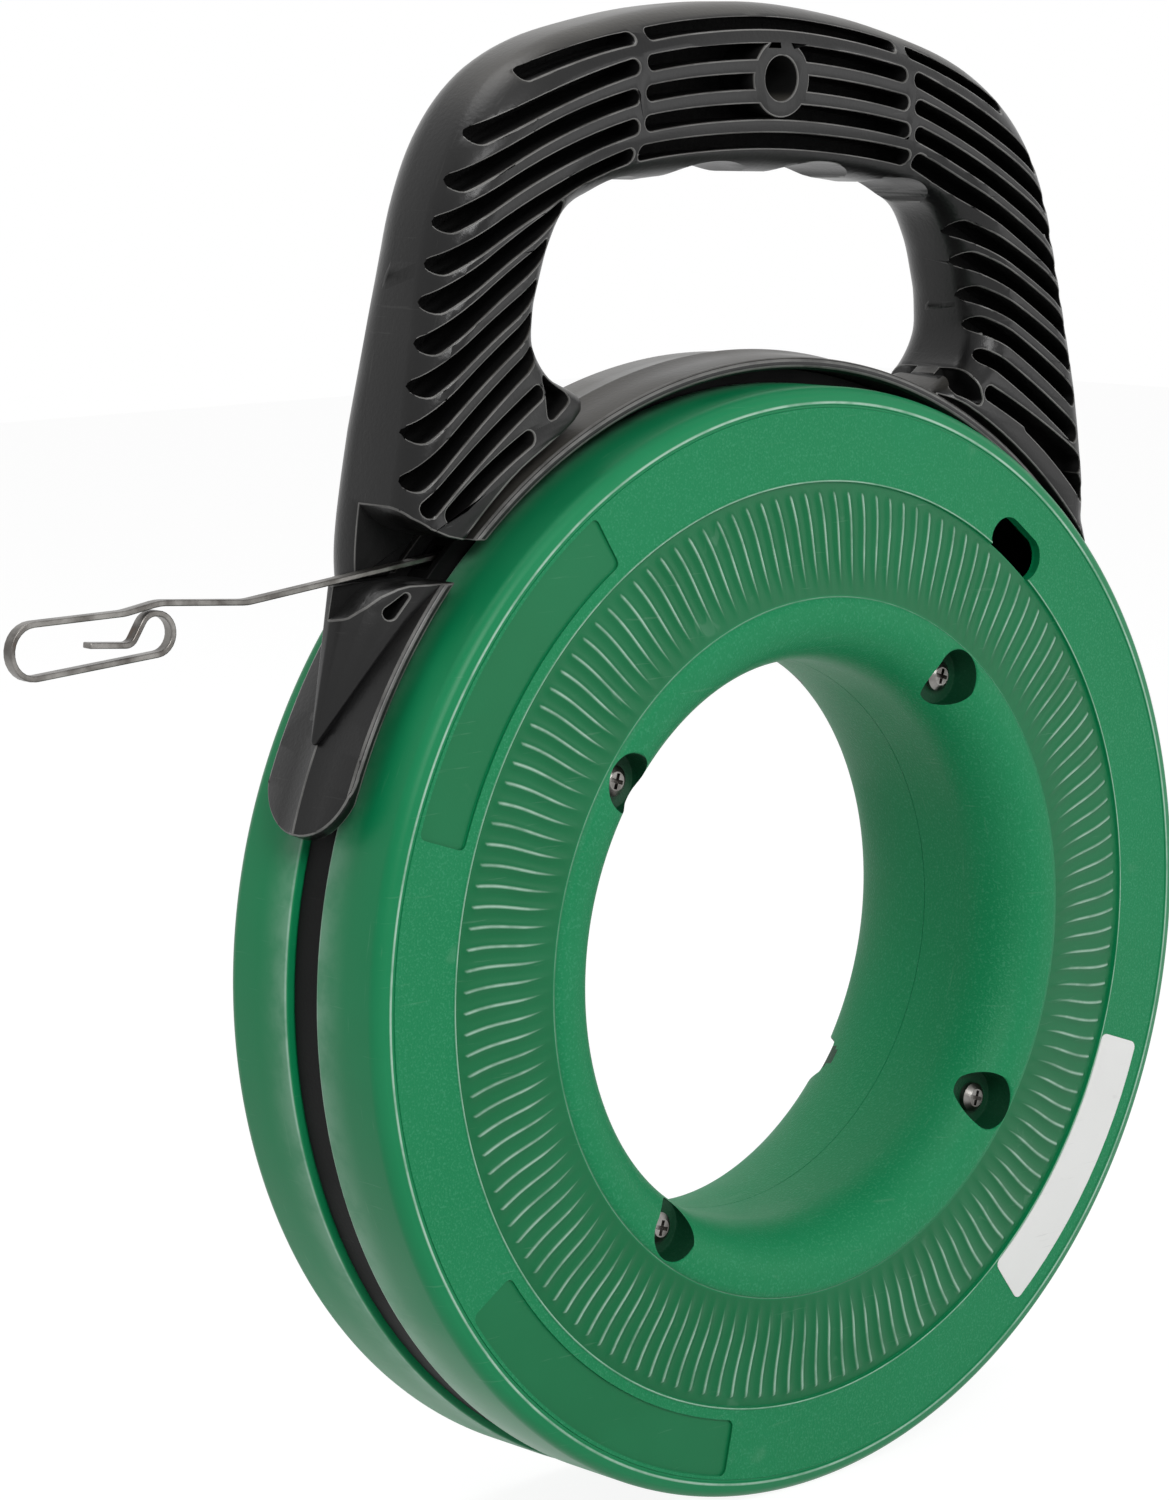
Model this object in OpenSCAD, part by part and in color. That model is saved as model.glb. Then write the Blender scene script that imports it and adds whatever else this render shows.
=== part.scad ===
// Fish tape reel: a steel fish tape wound in a flat round case that turns inside a carrying handle.
// The case axis is Y, the front face looks along -Y, the handle stands up along +Z.
// The origin is the centre of the case, halfway between its two faces.

/* [Case] */
// Diameter of the case over its rim
case_d = 305; // [270:1:380]
// Width of the case between its two hub crests
case_w = 70; // [58:1:90]
// Diameter of the open hub
bore_d = 155; // [125:1:165]
// Width of the slot between the two shells at the rim
rim_slot = 11.6; // [8:0.2:16]
// Wall of the two shells
wall = 3; // [2:0.1:4]
// Flutes in one face
flutes = 142; // [60:2:160]
// Height of a flute's crest over its valley
flute_rise = 0.9; // [0.4:0.1:1.4]
// Width of a flute's crest
flute_w = 1.1; // [0.8:0.1:2]

/* [Hub screws] */
// Diameter of the pocket that a screw head sits in
pocket_d = 16; // [13:0.5:18]
// Diameter of a screw head
screw_head_d = 8.2; // [6:0.2:11]
// Diameter of a screw's shank
screw_d = 4.2; // [3:0.1:5.5]
// Depth of a pocket's floor below the hub crest
pocket_depth = 9; // [6:0.5:12]

/* [Window and label] */
// Length of the window along the rim
window_l = 22; // [14:1:30]
// Width of the window
window_w = 13; // [8:0.5:15]
// Thickness of the face label
label_t = 0.25; // [0.2:0.05:0.6]

/* [Handle] */
// Depth of the grip from front to back
grip_t = 36; // [30:1:44]
// Height of the grip bar
grip_h = 45; // [38:0.5:52]
// Height of the grip's top over the rim
handle_rise = 102; // [85:0.5:125]
// Lean of the grip's top to the right, in degrees
grip_lean = 2.6; // [0:0.1:4]
// Pitch of the finger grooves
finger_pitch = 36.5; // [28:0.5:40]
// Radius on the long edges of the grip
grip_round = 14; // [6:0.5:16]
// Thickness of the saddle band over the rim
saddle_t = 3.4; // [2.4:0.2:5]
// Air between the rim and the saddle band
saddle_gap = 4; // [2.5:0.5:6]
// Thickness of the web between the front and rear slots
slot_web = 9; // [4:0.5:14]
// Width of the long slots in the legs
leg_slot_w = 4.8; // [3.6:0.2:6]
// Width of the short slots over the fingers
row_slot_w = 4.2; // [3:0.1:5]
// Diameter of the lanyard hole
lanyard_d = 12; // [6:0.5:14]

/* [Tape] */
// Width of the tape
tape_w = 3.2; // [2.4:0.1:4.5]
// Thickness of the tape
tape_t = 1.5; // [1:0.1:2]
// Layers of tape on the drum
layers = 4; // [2:1:6]
// Windings side by side on each side of the leader
columns = 3; // [1:1:6]
// Length of the leader inside the case
leader_tail = 78; // [60:1:90]
// Length of the hook's eye
hook_l = 34; // [24:1:45]
// Height of the hook's eye between strand centres
hook_h = 13.2; // [9:0.2:18]

/* [Hidden] */
$fn = 96;

// Case outline, as radius and height over the middle plane
rim_r = case_d / 2;
bore_r = bore_d / 2;
scale_k = rim_r / 152.5;
seam = 0.1;
crest_h = case_w / 2;
land_h = 10;
crest_r = bore_r + 13.5;
crest_flat = 3.5;
band_in = crest_r + crest_flat + 1.7;
band_out = rim_r - 25.5;
band_in_h = crest_h - 0.4;
face_h = crest_h - 4.2;
band_out_h = face_h + 0.4;
rim_round = 4;
lip_t = 3.4;
lip_in = rim_r - lip_t;

// Screw circle and pockets
screw_r = bore_r + 10;
screw_turn = 38;
screw_count = 4;
pocket_floor = crest_h - pocket_depth;
cup_wall = 2.2;
boss_r = screw_d / 2 + 3.6;
screw_play = 0.1;
screw_end = 16;

// Things on the front face, as angles clockwise from the top
window_turn = 38.6;
window_r = rim_r - 21.5;
label_turn = [109.5, 144];
label_in = rim_r - 24.7;
label_out = rim_r - 9.3;
panel_turns = [[-71, -32], [-167, -123]];
panel_in = rim_r - 22;
panel_out = rim_r - 6.5;
panel_depth = 0.4;
panel_corner = 3.2;
label_corner = 2;

// Flutes lean round the axis towards the hub in a drawn-out S, in pitches
flute_lean = 0.75;
flute_sway = 0.085;

// Wide end of the drop-shaped hole in the keel
keel_hole_w = 3.6;

// Ring that the case turns on
ring_gap = 0.6;
ring_out = lip_in - ring_gap;
ring_in = ring_out - 6.4;
ring_half = rim_slot / 2 + 3.4;
web_half = rim_slot / 2 - 0.7;
web_rim_out = rim_r - 2;

// Tape lane and leader, a straight line that falls towards the hook
lane_fall = 5.7;
lane_start = [-99, 114.3] * scale_k;
lane_open = tape_t / 2 + 1.9;
drum_gap = tape_w + 2.4;
drum_out = band_out - 7.4;
drum_t = 2.6;
wind_step = tape_t + 0.1;
wind_pitch = tape_w + 0.1;

// Handle outline
saddle_in = rim_r + saddle_gap;
saddle_out = saddle_in + saddle_t;
saddle_half = grip_t / 2 - 1;
grip_half = grip_t / 2;
foot_turn = 51;
shoe_turn = -66.5;
groove_d = 3 * scale_k;
mouth_back = tape_w / 2 + 1.4;
grip_shift = 0.9 * grip_lean * scale_k;
lanyard_boss_r = lanyard_d / 2 + 4.4;
lanyard_share = 0.55;

// Slots, as shares of the way across the grip and as stations along it
row_shares = [0.186, 0.356, 0.531, 0.706, 0.871];
row_bars = [2.21, 2.06, 1.96, 1.86, 1.74];
row_ends = [6.65, 6.15, 5.6, 4.9, 3.66];
row_bows = [2.2, 2.4, 2.2, 1.4, 0.9] * scale_k;
bar_half = 0.15;
leg_starts = [[4.2, 0.06], [5.05, 0.06], [6, 0.06], [7.1, 0.06], [8.1, 0.08], [9, 0.2],
  [9.75, 0.36], [11, 0.3]];
leg_ends = [7.12, 7.65, 8.25, 8.97, 9.78, 10.4, 11.06, 12];
mouth_ends = [[10.3, 0.88], [10.76, 0.7]];
leg_bow = 0.8 * scale_k;
front_edge = 0.075;
rear_edge = 0.22;
slot_fn = 4;
corner_n = 4;

// Stations from the top of the grip to the foot: outer x and z, inner x and z
stations = [
  [0, 254.5, 0, 209.3], [30.2, 252.3, 24, 208.5], [56.2, 247.4, 45.7, 206.4], [77, 241.2, 61.7, 202.9],
  [93.3, 231.7, 71.5, 197.4], [105.4, 218.1, 77.3, 187.7], [113.6, 200.5, 80, 178.4],
  [118.8, 179.8, 81.7, 170], [122.6, 160.7, 81.9, 162.7], [125.5, 144.9, 77, 154.5],
  [128.1, 130, 66, 146], [129.8, 116, 88, 132], [129.5, 106, 106, 117.5], [128, 97, 121, 102]
];
last = len(stations) - 1;
steps = 2;
foot_station = 10;

// Turns the drawing plane upright: x stays, y becomes z, z becomes -y
module upright() rotate([90, 0, 0]) children();

// Same, for the rear half
module upright_rear() mirror([0, 1, 0]) upright() children();

// Places children at a radius and an angle clockwise from the top
module at_turn(turn, r) rotate(-turn) translate([0, r, 0]) children();

function ellipse_arc(c, a, b, from, to, n) =
  [for (i = [0:n]) let (t = from + (to - from) * i / n) [c[0] + a * cos(t), c[1] + b * sin(t)]];

// Shell outline from the hub seam over the crest and the face to the rim lip
function outer_side() = concat(
  [[bore_r, seam]],
  ellipse_arc([crest_r, land_h], crest_r - bore_r, crest_h - land_h, 180, 90, 12),
  [[crest_r + crest_flat, crest_h], [band_in, band_in_h - flute_rise],
   [band_out, band_out_h - flute_rise], [band_out, band_out_h], [band_out + 0.4, face_h],
   [rim_r - rim_round, face_h]],
  ellipse_arc([rim_r - rim_round, face_h - rim_round], rim_round, rim_round, 72, 0, 4),
  [[rim_r, rim_slot / 2 + 0.8], [rim_r - 0.8, rim_slot / 2], [lip_in, rim_slot / 2]]);

function inner_side() = concat(
  [[lip_in, face_h - wall - 2], [lip_in - 2, face_h - wall], [band_out - 1, face_h - wall],
   [band_in, band_in_h - flute_rise - wall], [crest_r, crest_h - wall - 1]],
  ellipse_arc([crest_r, land_h], crest_r - bore_r - wall, crest_h - land_h - wall - 1, 96, 180, 10),
  [[bore_r + wall, seam]]);

// Surface halfway through the hub wall, which the bosses end in
function hub_fill() = concat(
  [[bore_r + wall / 2, seam]],
  ellipse_arc([crest_r, land_h], crest_r - bore_r - wall / 2, crest_h - land_h - wall / 2, 180, 90, 10),
  [[crest_r + crest_flat, crest_h - wall / 2], [crest_r + 14, band_in_h - 3], [crest_r + 14, seam]]);

module hub_posts() {
  for (i = [0:screw_count - 1]) at_turn(screw_turn + 90 * i, screw_r) {
    translate([0, 0, pocket_floor - wall]) cylinder(r = pocket_d / 2 + cup_wall, h = pocket_depth + wall);
    translate([0, 0, seam]) cylinder(r = boss_r, h = pocket_floor - wall);
  }
}

module drum() {
  rotate_extrude() translate([drum_out - drum_t, drum_gap / 2])
    square([drum_t, face_h - wall / 2 - drum_gap / 2]);
}

// Path of one flute, from its outer end to its inner end
function flute_path(n) = [for (i = [0:n]) let (
  f = i / n, r = band_out - 2.2 - (band_out - band_in - 3.8) * f,
  turn = -360 / flutes * (flute_lean * f + flute_sway * sin(360 * f)))
  r * [cos(turn), sin(turn)]];

// Crests of the flutes, standing on the sunken band
module flute_crests() {
  intersection() {
    linear_extrude(crest_h) for (i = [0:flutes - 1]) rotate(360 * i / flutes) strip(flute_path(3), flute_w);
    rotate_extrude() polygon([
      [band_in, band_in_h - flute_rise - 0.5], [band_out, band_out_h - flute_rise - 0.5],
      [band_out, band_out_h], [band_in, band_in_h]]);
  }
}

module shell_half(hole_r) {
  difference() {
    union() {
      rotate_extrude() polygon(concat(outer_side(), inner_side()));
      intersection() {
        rotate_extrude() polygon(hub_fill());
        hub_posts();
      }
      drum();
      flute_crests();
    }
    for (i = [0:screw_count - 1]) at_turn(screw_turn + 90 * i, screw_r) {
      translate([0, 0, pocket_floor]) cylinder(r = pocket_d / 2, h = pocket_depth + 1);
      translate([0, 0, -1]) cylinder(r = hole_r[0], h = hole_r[1] + 1);
    }
  }
}

module window_cut() {
  at_turn(window_turn, window_r) translate([0, 0, face_h - wall - 3]) linear_extrude(wall + 8) {
    for (s = [-1, 1]) translate([s * (window_l - window_w) / 2, 0]) circle(d = window_w);
    square([window_l - window_w, window_w], center = true);
  }
}

// Part of a ring between two angles clockwise from the top
module sector(turns, section) {
  rotate(90 - turns[1]) rotate_extrude(angle = turns[1] - turns[0])
    translate(section[0]) square(section[1]);
}

// Curved patch on the face between two angles and two radii, with round corners
module patch(turns, r_in, r_out, corner) {
  function at(r, turn) = r * [sin(turn), cos(turn)];
  function side(r, k) = [for (i = [0:12]) let (m = corner / r * 180 / PI,
    f = k > 0 ? i / 12 : 1 - i / 12) at(r, turns[0] + m + (turns[1] - turns[0] - 2 * m) * f)];
  function round_off(r, turn, k, from) = [for (i = [1:3]) let (a = from + 22.5 * i,
    m = corner * 180 / PI / r) at(r + corner * cos(a), turn + k * m - corner * sin(a) / r * 180 / PI * k)];
  polygon(concat(
    side(r_out, 1), round_off(r_out - corner, turns[1], -1, 0),
    [at(r_out - corner, turns[1]), at(r_in + corner, turns[1])], round_off(r_in + corner, turns[1], -1, 90),
    side(r_in, -1), backward(round_off(r_in + corner, turns[0], 1, 90)),
    [at(r_in + corner, turns[0]), at(r_out - corner, turns[0])],
    backward(round_off(r_out - corner, turns[0], 1, 0))));
}

module front_shell() color([0.12, 0.50, 0.31]) upright() difference() {
  shell_half([screw_d / 2 + screw_play, pocket_floor + 2]);
  window_cut();
  for (t = panel_turns) translate([0, 0, face_h - panel_depth]) linear_extrude(panel_depth + 1)
    patch(t, panel_in, panel_out, panel_corner);
}

module rear_shell() color([0.12, 0.50, 0.31]) upright_rear()
  shell_half([screw_d / 2 + screw_play, screw_end + 1.5]);

// Pan head screw with a cross recess, from the pocket floor into the rear shell
module hub_screw(i) color([0.36, 0.35, 0.34]) upright() at_turn(screw_turn + 90 * i, screw_r)
  difference() {
    union() {
      translate([0, 0, pocket_floor]) cylinder(d = screw_head_d, h = 1.6);
      translate([0, 0, pocket_floor + 1.6]) cylinder(d1 = screw_head_d, d2 = screw_head_d * 0.62, h = 1.2);
      translate([0, 0, -screw_end]) cylinder(d = screw_d, h = pocket_floor + screw_end);
    }
    for (a = [0, 90]) rotate(a + 20) translate([0, 0, pocket_floor + 2.1])
      cube([screw_head_d * 0.52, 1.1, 2.2], center = true);
  }
module hub_screw_1() hub_screw(0);
module hub_screw_2() hub_screw(1);
module hub_screw_3() hub_screw(2);
module hub_screw_4() hub_screw(3);

module face_label() color([0.94, 0.94, 0.93]) upright()
  translate([0, 0, face_h]) linear_extrude(label_t) patch(label_turn, label_in, label_out, label_corner);

// Windings on the drum, in two stacks that leave the middle lane free
module tape_coil() color([0.20, 0.20, 0.21]) upright() rotate_extrude()
  for (side = [0, 1]) mirror([0, side]) translate([drum_out, drum_gap / 2])
    square([layers * wind_step, columns * wind_pitch]);

// Path of a strip: each move is a straight length, then a bend by an angle at a radius
function bend(p, heading, angle, r, n) = let (side = angle > 0 ? 1 : -1)
  [for (i = [1:n]) let (t = angle * i / n)
    p + r * side * [sin(heading + t) - sin(heading), cos(heading) - cos(heading + t)]];
function walk(p, heading, moves, k = 0) = k == len(moves) ? [p] :
  let (m = moves[k], q = p + m[0] * [cos(heading), sin(heading)],
       n = m[1] == 0 ? 0 : max(2, ceil(abs(m[1]) / 14)),
       arc = n == 0 ? [] : bend(q, heading, m[1], m[2], n))
  concat([p, if (m[0] > 0) q], n == 0 ? [] : [for (i = [0:1:n - 2]) arc[i]],
         walk(n == 0 ? q : arc[n - 1], heading + m[1], moves, k + 1));
function side_step(path, i, d) = let (
  a = path[max(i - 1, 0)], b = path[min(i + 1, len(path) - 1)],
  u = (b - a) / norm(b - a)) path[i] + d * [-u[1], u[0]];
function clean(path) = [for (i = [0:len(path) - 1])
  if (i == 0 || norm(path[i] - path[max(i - 1, 0)]) > 0.02) path[i]];
module strip(path, t) polygon(concat(
  [for (i = [0:len(path) - 1]) side_step(path, i, t / 2)],
  [for (i = [len(path) - 1:-1:0]) side_step(path, i, -t / 2)]));

lane_dir = [-cos(lane_fall), -sin(lane_fall)];
leader_start = lane_start - leader_tail * lane_dir;
leader_moves = [
  [leader_tail + 68 * scale_k, -10.6, 14], [24, 13.6, 14], [8, -8.4, 14], [hook_l - 8, 180, hook_h / 2],
  [0, 3.4, 20], [hook_l + 1.5, 171, 5.1], [0.6, 62, 4.2], [4.6, -62, 3], [11, 0, 0]
];

module tape_leader() color([0.25, 0.25, 0.26]) upright()
  translate([0, 0, -tape_w / 2]) linear_extrude(tape_w)
    strip(clean(walk(leader_start, 180 + lane_fall, leader_moves)), tape_t);

// Clear way for the tape from inside the ring to the open air
module lane_cut(half_w) upright() translate([lane_start[0], lane_start[1], 0]) rotate(lane_fall)
  translate([-60 * scale_k, -lane_open, -half_w]) cube([40 + 60 * scale_k, 2 * lane_open, 2 * half_w]);

module guide_ring() color([0.09, 0.09, 0.10]) difference() {
  upright() {
    rotate_extrude() {
      translate([ring_in, -ring_half]) square([ring_out - ring_in, 2 * ring_half]);
      translate([ring_out - 1, -web_half]) square([web_rim_out - ring_out + 1, 2 * web_half]);
    }
    sector([shoe_turn - 5, foot_turn],
      [[ring_out - 3, 0.6 - web_half], [saddle_in - 0.05 - ring_out + 3, 2 * web_half - 1.2]]);
  }
  lane_cut(tape_w / 2 + 0.8);
}

// Place of a point of the standard handle, with the case's size and the grip's rise applied
function place(p) = let (z0 = rim_r * 0.64,
  rise = (rim_r + handle_rise - z0) / (rim_r + 102 * scale_k - z0))
  [p[0] * scale_k, z0 + (p[1] * scale_k - z0) * rise];

// The grip stands on its feet with a slight lean, which grows towards the top
function lean(p) = let (u = min(1, max(0, (p[1] / scale_k - 125) / 110)))
  [p[0] + grip_shift * sin(90 * u), p[1] - p[0] * sin(grip_lean * u)];

// Handle outline at a station, t, and a share, u, of the way from its inner to its outer edge
function spline(a, b, c, d, f) = 0.5 * ((2 * b) + (c - a) * f + (2 * a - 5 * b + 4 * c - d) * f * f
  + (3 * b - a - 3 * c + d) * f * f * f);
function row(i) = i < 0 ? [for (k = [0:3]) (k % 2 == 0 ? -1 : 1) * stations[-i][k]]
  : stations[min(i, last)];
function outline(t) = let (i = min(floor(t), last - 1))
  spline(row(i - 1), row(i), row(i + 1), row(i + 2), t - i);
function spot(t, u) = let (
  r = outline(abs(t)), free = min(1, max(0, (foot_station - abs(t)) / 2)),
  outer = place([r[0], r[1]]), across = [r[2] - r[0], r[3] - r[1]],
  inner = free * (outer + across * grip_h / 45) + (1 - free) * place([r[2], r[3]]),
  p = inner + (outer - inner) * u)
  lean([t < 0 ? -p[0] : p[0], p[1]]);

// Ring of points across the grip at a station, a box with round corners
function grip_ring(t) = let (
  a = spot(t, 0), b = spot(t, 1), w = norm(b - a), u = (b - a) / w, m = (a + b) / 2,
  r = min(grip_round, w * 0.45))
  [for (c = [0:3], j = [0:corner_n]) let (
    v = 90 * c + 90 * j / corner_n,
    p = (c == 0 || c == 3 ? 1 : -1) * (w / 2 - r) + r * cos(v),
    q = (c < 2 ? 1 : -1) * (grip_half - r) + r * sin(v))
    [m[0] + u[0] * p, q, m[1] + u[1] * p]];

// Whole loop of the handle from the left foot over the grip to the right foot
module loop() {
  rings = 2 * last * steps + 1;
  per = 4 * (corner_n + 1);
  pts = [for (i = [0:rings - 1]) each grip_ring((i - last * steps) / steps)];
  sides = [for (i = [0:rings - 2], j = [0:per - 1]) let (
    a = i * per + j, b = i * per + (j + 1) % per) each [[a, b, b + per], [a, b + per, a + per]]];
  ends = [[for (j = [per - 1:-1:0]) j], [for (j = [0:per - 1]) (rings - 1) * per + j]];
  polyhedron(pts, concat(sides, ends), convexity = 6);
}

// Middle line of a slot along the grip, at one share of the way across it
function row_path(a, b, share, n) = [for (i = [0:n]) spot(a + (b - a) * i / n, share)];

// Middle line of a slot that crosses the leg: straight between two [station, share], bowed outwards
function leg_path(a, b, bow, n) = let (
  p = spot(a[0], a[1]), q = spot(b[0], b[1]), u = (q - p) / norm(q - p),
  out = (q[0] > p[0] ? 1 : -1) * [-u[1], u[0]])
  [for (i = [0:n]) let (f = i / n) p + (q - p) * f + 4 * bow * f * (1 - f) * out];

// Slot with round ends round its middle line, wa wide where it starts and wb where it ends
function slot_end(p, u, r) = let (v = atan2(u[1], u[0]))
  [for (a = [-90:180 / slot_fn:90]) p + r * [cos(v + a), sin(v + a)]];
function edge_points(path, wa, wb, side) = let (n = len(path) - 1)
  [for (i = [1:1:n - 1]) side_step(path, i, side * (wa + (wb - wa) * i / n) / 2)];
function backward(v) = [for (i = [len(v) - 1:-1:0]) v[i]];
module slot(path, wa, wb) {
  n = len(path) - 1;
  polygon(concat(
    slot_end(path[n], path[n] - path[n - 1], wb / 2), backward(edge_points(path, wa, wb, 1)),
    slot_end(path[0], path[0] - path[1], wa / 2), edge_points(path, wa, wb, -1)));
}

// Slots of one half of the loop: rows over the fingers, then long ones that cross the leg
module slots(side, edge, n) {
  for (i = [0:len(row_shares) - 1]) {
    w = i == len(row_shares) - 1 ? row_slot_w * 0.75 : row_slot_w;
    difference() {
      slot(row_path(0, side * (row_bars[i] - bar_half), row_shares[i], 2), w, w);
      translate(spot(0, lanyard_share)) circle(r = lanyard_boss_r, $fn = 24);
    }
    slot(leg_path([side * (row_bars[i] + bar_half), row_shares[i]],
      [side * row_ends[i], 1 - edge], row_bows[i], n), w, min(leg_slot_w, w * 1.12));
  }
  for (i = [0:len(leg_starts) - 1]) {
    a = leg_starts[i];
    b = side < 0 && i > 4 ? mouth_ends[i - 5] : [leg_ends[i], 1 - edge];
    if (b != undef) slot(leg_path([side * a[0], max(a[1], edge)], [side * b[0], b[1]], leg_bow, n),
      leg_slot_w * 0.9, leg_slot_w);
  }
}

// Drop-shaped hole near the top of the keel
module keel_hole() slot([[-129.8, 102.1] * scale_k, [-126.2, 106] * scale_k], keel_hole_w, keel_hole_w / 2);

// Three-cornered hole at the inner end of a foot
module foot_hole(side) hull() for (p = [[72, 151.5], [81, 156.5], [82.5, 147.5]])
  translate(lean(place([side * p[0], p[1]]))) circle(r = 1.6, $fn = 12);

// Open mouth at the left foot that the tape comes out of
module mouth_outline() polygon([for (p = [[-158, 146], [-133, 138], [-129.6, 130.5], [-126.5, 126.5],
  [-120.5, 122.4], [-110, 119], [-94, 117.5], [-90, 110.5], [-105, 108.8], [-122, 108.9], [-158, 108.6]]) p * scale_k]);

// Band over the rim, with a tongue on the left that ends round
module saddle() {
  upright() intersection() {
    rotate(90 - foot_turn) rotate_extrude(angle = foot_turn - shoe_turn + 7, $fn = 120)
      polygon([
        [saddle_in, -saddle_half + 1.2], [saddle_in + 0.8, -saddle_half], [saddle_out - 0.5, -saddle_half],
        [saddle_out, -saddle_half + 0.8], [saddle_out + 0.9, 0], [saddle_out, saddle_half - 0.8],
        [saddle_out - 0.5, saddle_half], [saddle_in + 0.8, saddle_half], [saddle_in, saddle_half - 1.2]]);
    union() {
      at_turn(shoe_turn, 0) rotate([-90, 0, 0]) cylinder(r = saddle_half, h = saddle_out + 4, $fn = 48);
      linear_extrude(grip_t, center = true) rotate(90 - shoe_turn) translate([0, -2 * rim_r])
        square(2 * rim_r);
      linear_extrude(grip_t, center = true) translate([-rim_r * 0.9, 0]) square([4 * rim_r, 2 * rim_r]);
    }
  }
}

// Raised keel that carries the tape out over the shoe
module keel() hull() for (p = [[-137.5, 0, 107], [-146, 0, 70.5], [-119, -saddle_half + 1.5, 109],
  [-119, saddle_half - 1.5, 109], [-111, -saddle_half + 4, 106.5], [-111, saddle_half - 4, 106.5]])
  translate(p * scale_k) sphere(r = 1.2, $fn = 12);

module face_slots(edge, n) {
  slots(1, edge, n);
  difference() {
    slots(-1, edge, n);
    offset(delta = 1.8) mouth_outline();
  }
  for (side = [-1, 1]) foot_hole(side);
}

module handle_body() color([0.16, 0.16, 0.17]) difference() {
  union() {
    difference() {
      union() {
        loop();
        keel();
      }
      upright() cylinder(r = saddle_in + 1, h = grip_t + 10, center = true, $fn = 120);
    }
    saddle();
  }
  // Slots in both faces, with a web left between them
  upright() translate([0, 0, slot_web / 2]) linear_extrude(grip_t) {
    face_slots(front_edge, 3);
    keel_hole();
  }
  upright() translate([0, 0, -slot_web / 2 - grip_t]) linear_extrude(grip_t) {
    face_slots(rear_edge, 1);
    keel_hole();
  }
  // Lanyard hole
  upright() translate(spot(0, lanyard_share))
    cylinder(d = lanyard_d, h = grip_t + 4, center = true, $fn = 32);
  // Finger grooves under the grip
  for (i = [-1.45, -0.5, 0.5, 1.45]) upright()
    translate(lean([i * finger_pitch, spot(0, 0)[1] - groove_d * (0.63 * i * i + 1)]))
      linear_extrude(grip_t + 4, center = true)
        scale([finger_pitch * 0.46, 2 * groove_d]) circle(r = 1, $fn = 36);
  // Tape mouth, open to the front, and the lane through it
  upright() translate([0, 0, -mouth_back]) linear_extrude(grip_t + mouth_back) mouth_outline();
  lane_cut(tape_w / 2 + 0.8);
}

front_shell();
rear_shell();
hub_screw_1();
hub_screw_2();
hub_screw_3();
hub_screw_4();
face_label();
tape_coil();
tape_leader();
guide_ring();
handle_body();
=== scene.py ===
# Fish tape reel, dressed for rendering. The scene is in metres, and the sizes of the case and the handle
# are in millimetres. The case turns about Y, its front looks along -Y and the handle stands up along +Z.
import math

import bpy
import bmesh
from mathutils import Matrix, Vector


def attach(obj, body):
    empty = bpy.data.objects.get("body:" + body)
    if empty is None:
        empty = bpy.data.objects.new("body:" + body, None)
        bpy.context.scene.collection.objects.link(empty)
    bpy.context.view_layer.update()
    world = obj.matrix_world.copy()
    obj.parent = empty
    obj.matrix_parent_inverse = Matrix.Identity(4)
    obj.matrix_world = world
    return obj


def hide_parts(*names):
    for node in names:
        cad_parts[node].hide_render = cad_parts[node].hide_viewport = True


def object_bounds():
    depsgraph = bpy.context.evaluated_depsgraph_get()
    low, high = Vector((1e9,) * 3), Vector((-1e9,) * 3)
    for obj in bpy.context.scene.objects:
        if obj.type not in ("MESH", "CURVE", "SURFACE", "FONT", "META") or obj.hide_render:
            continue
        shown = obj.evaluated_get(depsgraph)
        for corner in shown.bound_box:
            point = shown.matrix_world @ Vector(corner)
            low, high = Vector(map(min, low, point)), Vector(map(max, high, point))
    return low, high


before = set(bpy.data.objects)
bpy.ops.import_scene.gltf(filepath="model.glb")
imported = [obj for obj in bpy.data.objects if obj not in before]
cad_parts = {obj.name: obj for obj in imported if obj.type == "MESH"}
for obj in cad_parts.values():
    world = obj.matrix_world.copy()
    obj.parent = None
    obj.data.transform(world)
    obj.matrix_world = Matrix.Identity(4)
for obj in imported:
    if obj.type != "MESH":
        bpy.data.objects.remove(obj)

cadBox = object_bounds()
mm = 0.001


viewSizes = {
    "place": (-0.84913, -0.88038, 0.24745),
    "turn": (80.888, 0.471, -42.152),  # degrees about x, y and z
    "lens": 107.82,
    # each lamp's place, what it looks at, its width and its power
    "lamps": {"keyLamp": ((-0.75, -1.6, 1.2), (0, 0, 0.03), 0.9, 22.0),
              "fillLamp": ((1.1, -1.4, 0.3), (0, 0, 0.0), 1.2, 5.0),
              "topLamp": ((-0.3, 0.35, 1.6), (0, 0, 0.1), 1.0, 10.0)},
    "skyLight": 0.27,
    "floorHalf": 3.0, "floorGap": 0.0002,
    "floorGlow": 1.17, "glowShare": 0.78,  # how white the floor looks to the lens, over its own shade
}


def addLamp(name, place, target, size, power):
    data = bpy.data.lights.new(name, "AREA")
    data.shape = "DISK"
    data.size = size
    data.energy = power
    lamp = bpy.data.objects.new(name, data)
    lamp.location = place
    lamp.rotation_euler = (Vector(target) - Vector(place)).to_track_quat("-Z", "Y").to_euler()
    bpy.context.collection.objects.link(lamp)


def makeView(s):
    scene = bpy.context.scene
    scene.view_settings.view_transform = "Standard"
    data = bpy.data.cameras.new("reelCamera")
    data.lens = s["lens"]
    data.sensor_width = 36.0
    data.sensor_fit = "AUTO"
    data.clip_start = 0.05
    data.clip_end = 30.0
    camera = bpy.data.objects.new("reelCamera", data)
    camera.location = s["place"]
    camera.rotation_euler = [math.radians(angle) for angle in s["turn"]]
    bpy.context.collection.objects.link(camera)
    scene.camera = camera
    for name, (place, target, size, power) in s["lamps"].items():
        addLamp(name, place, target, size, power)


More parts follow.
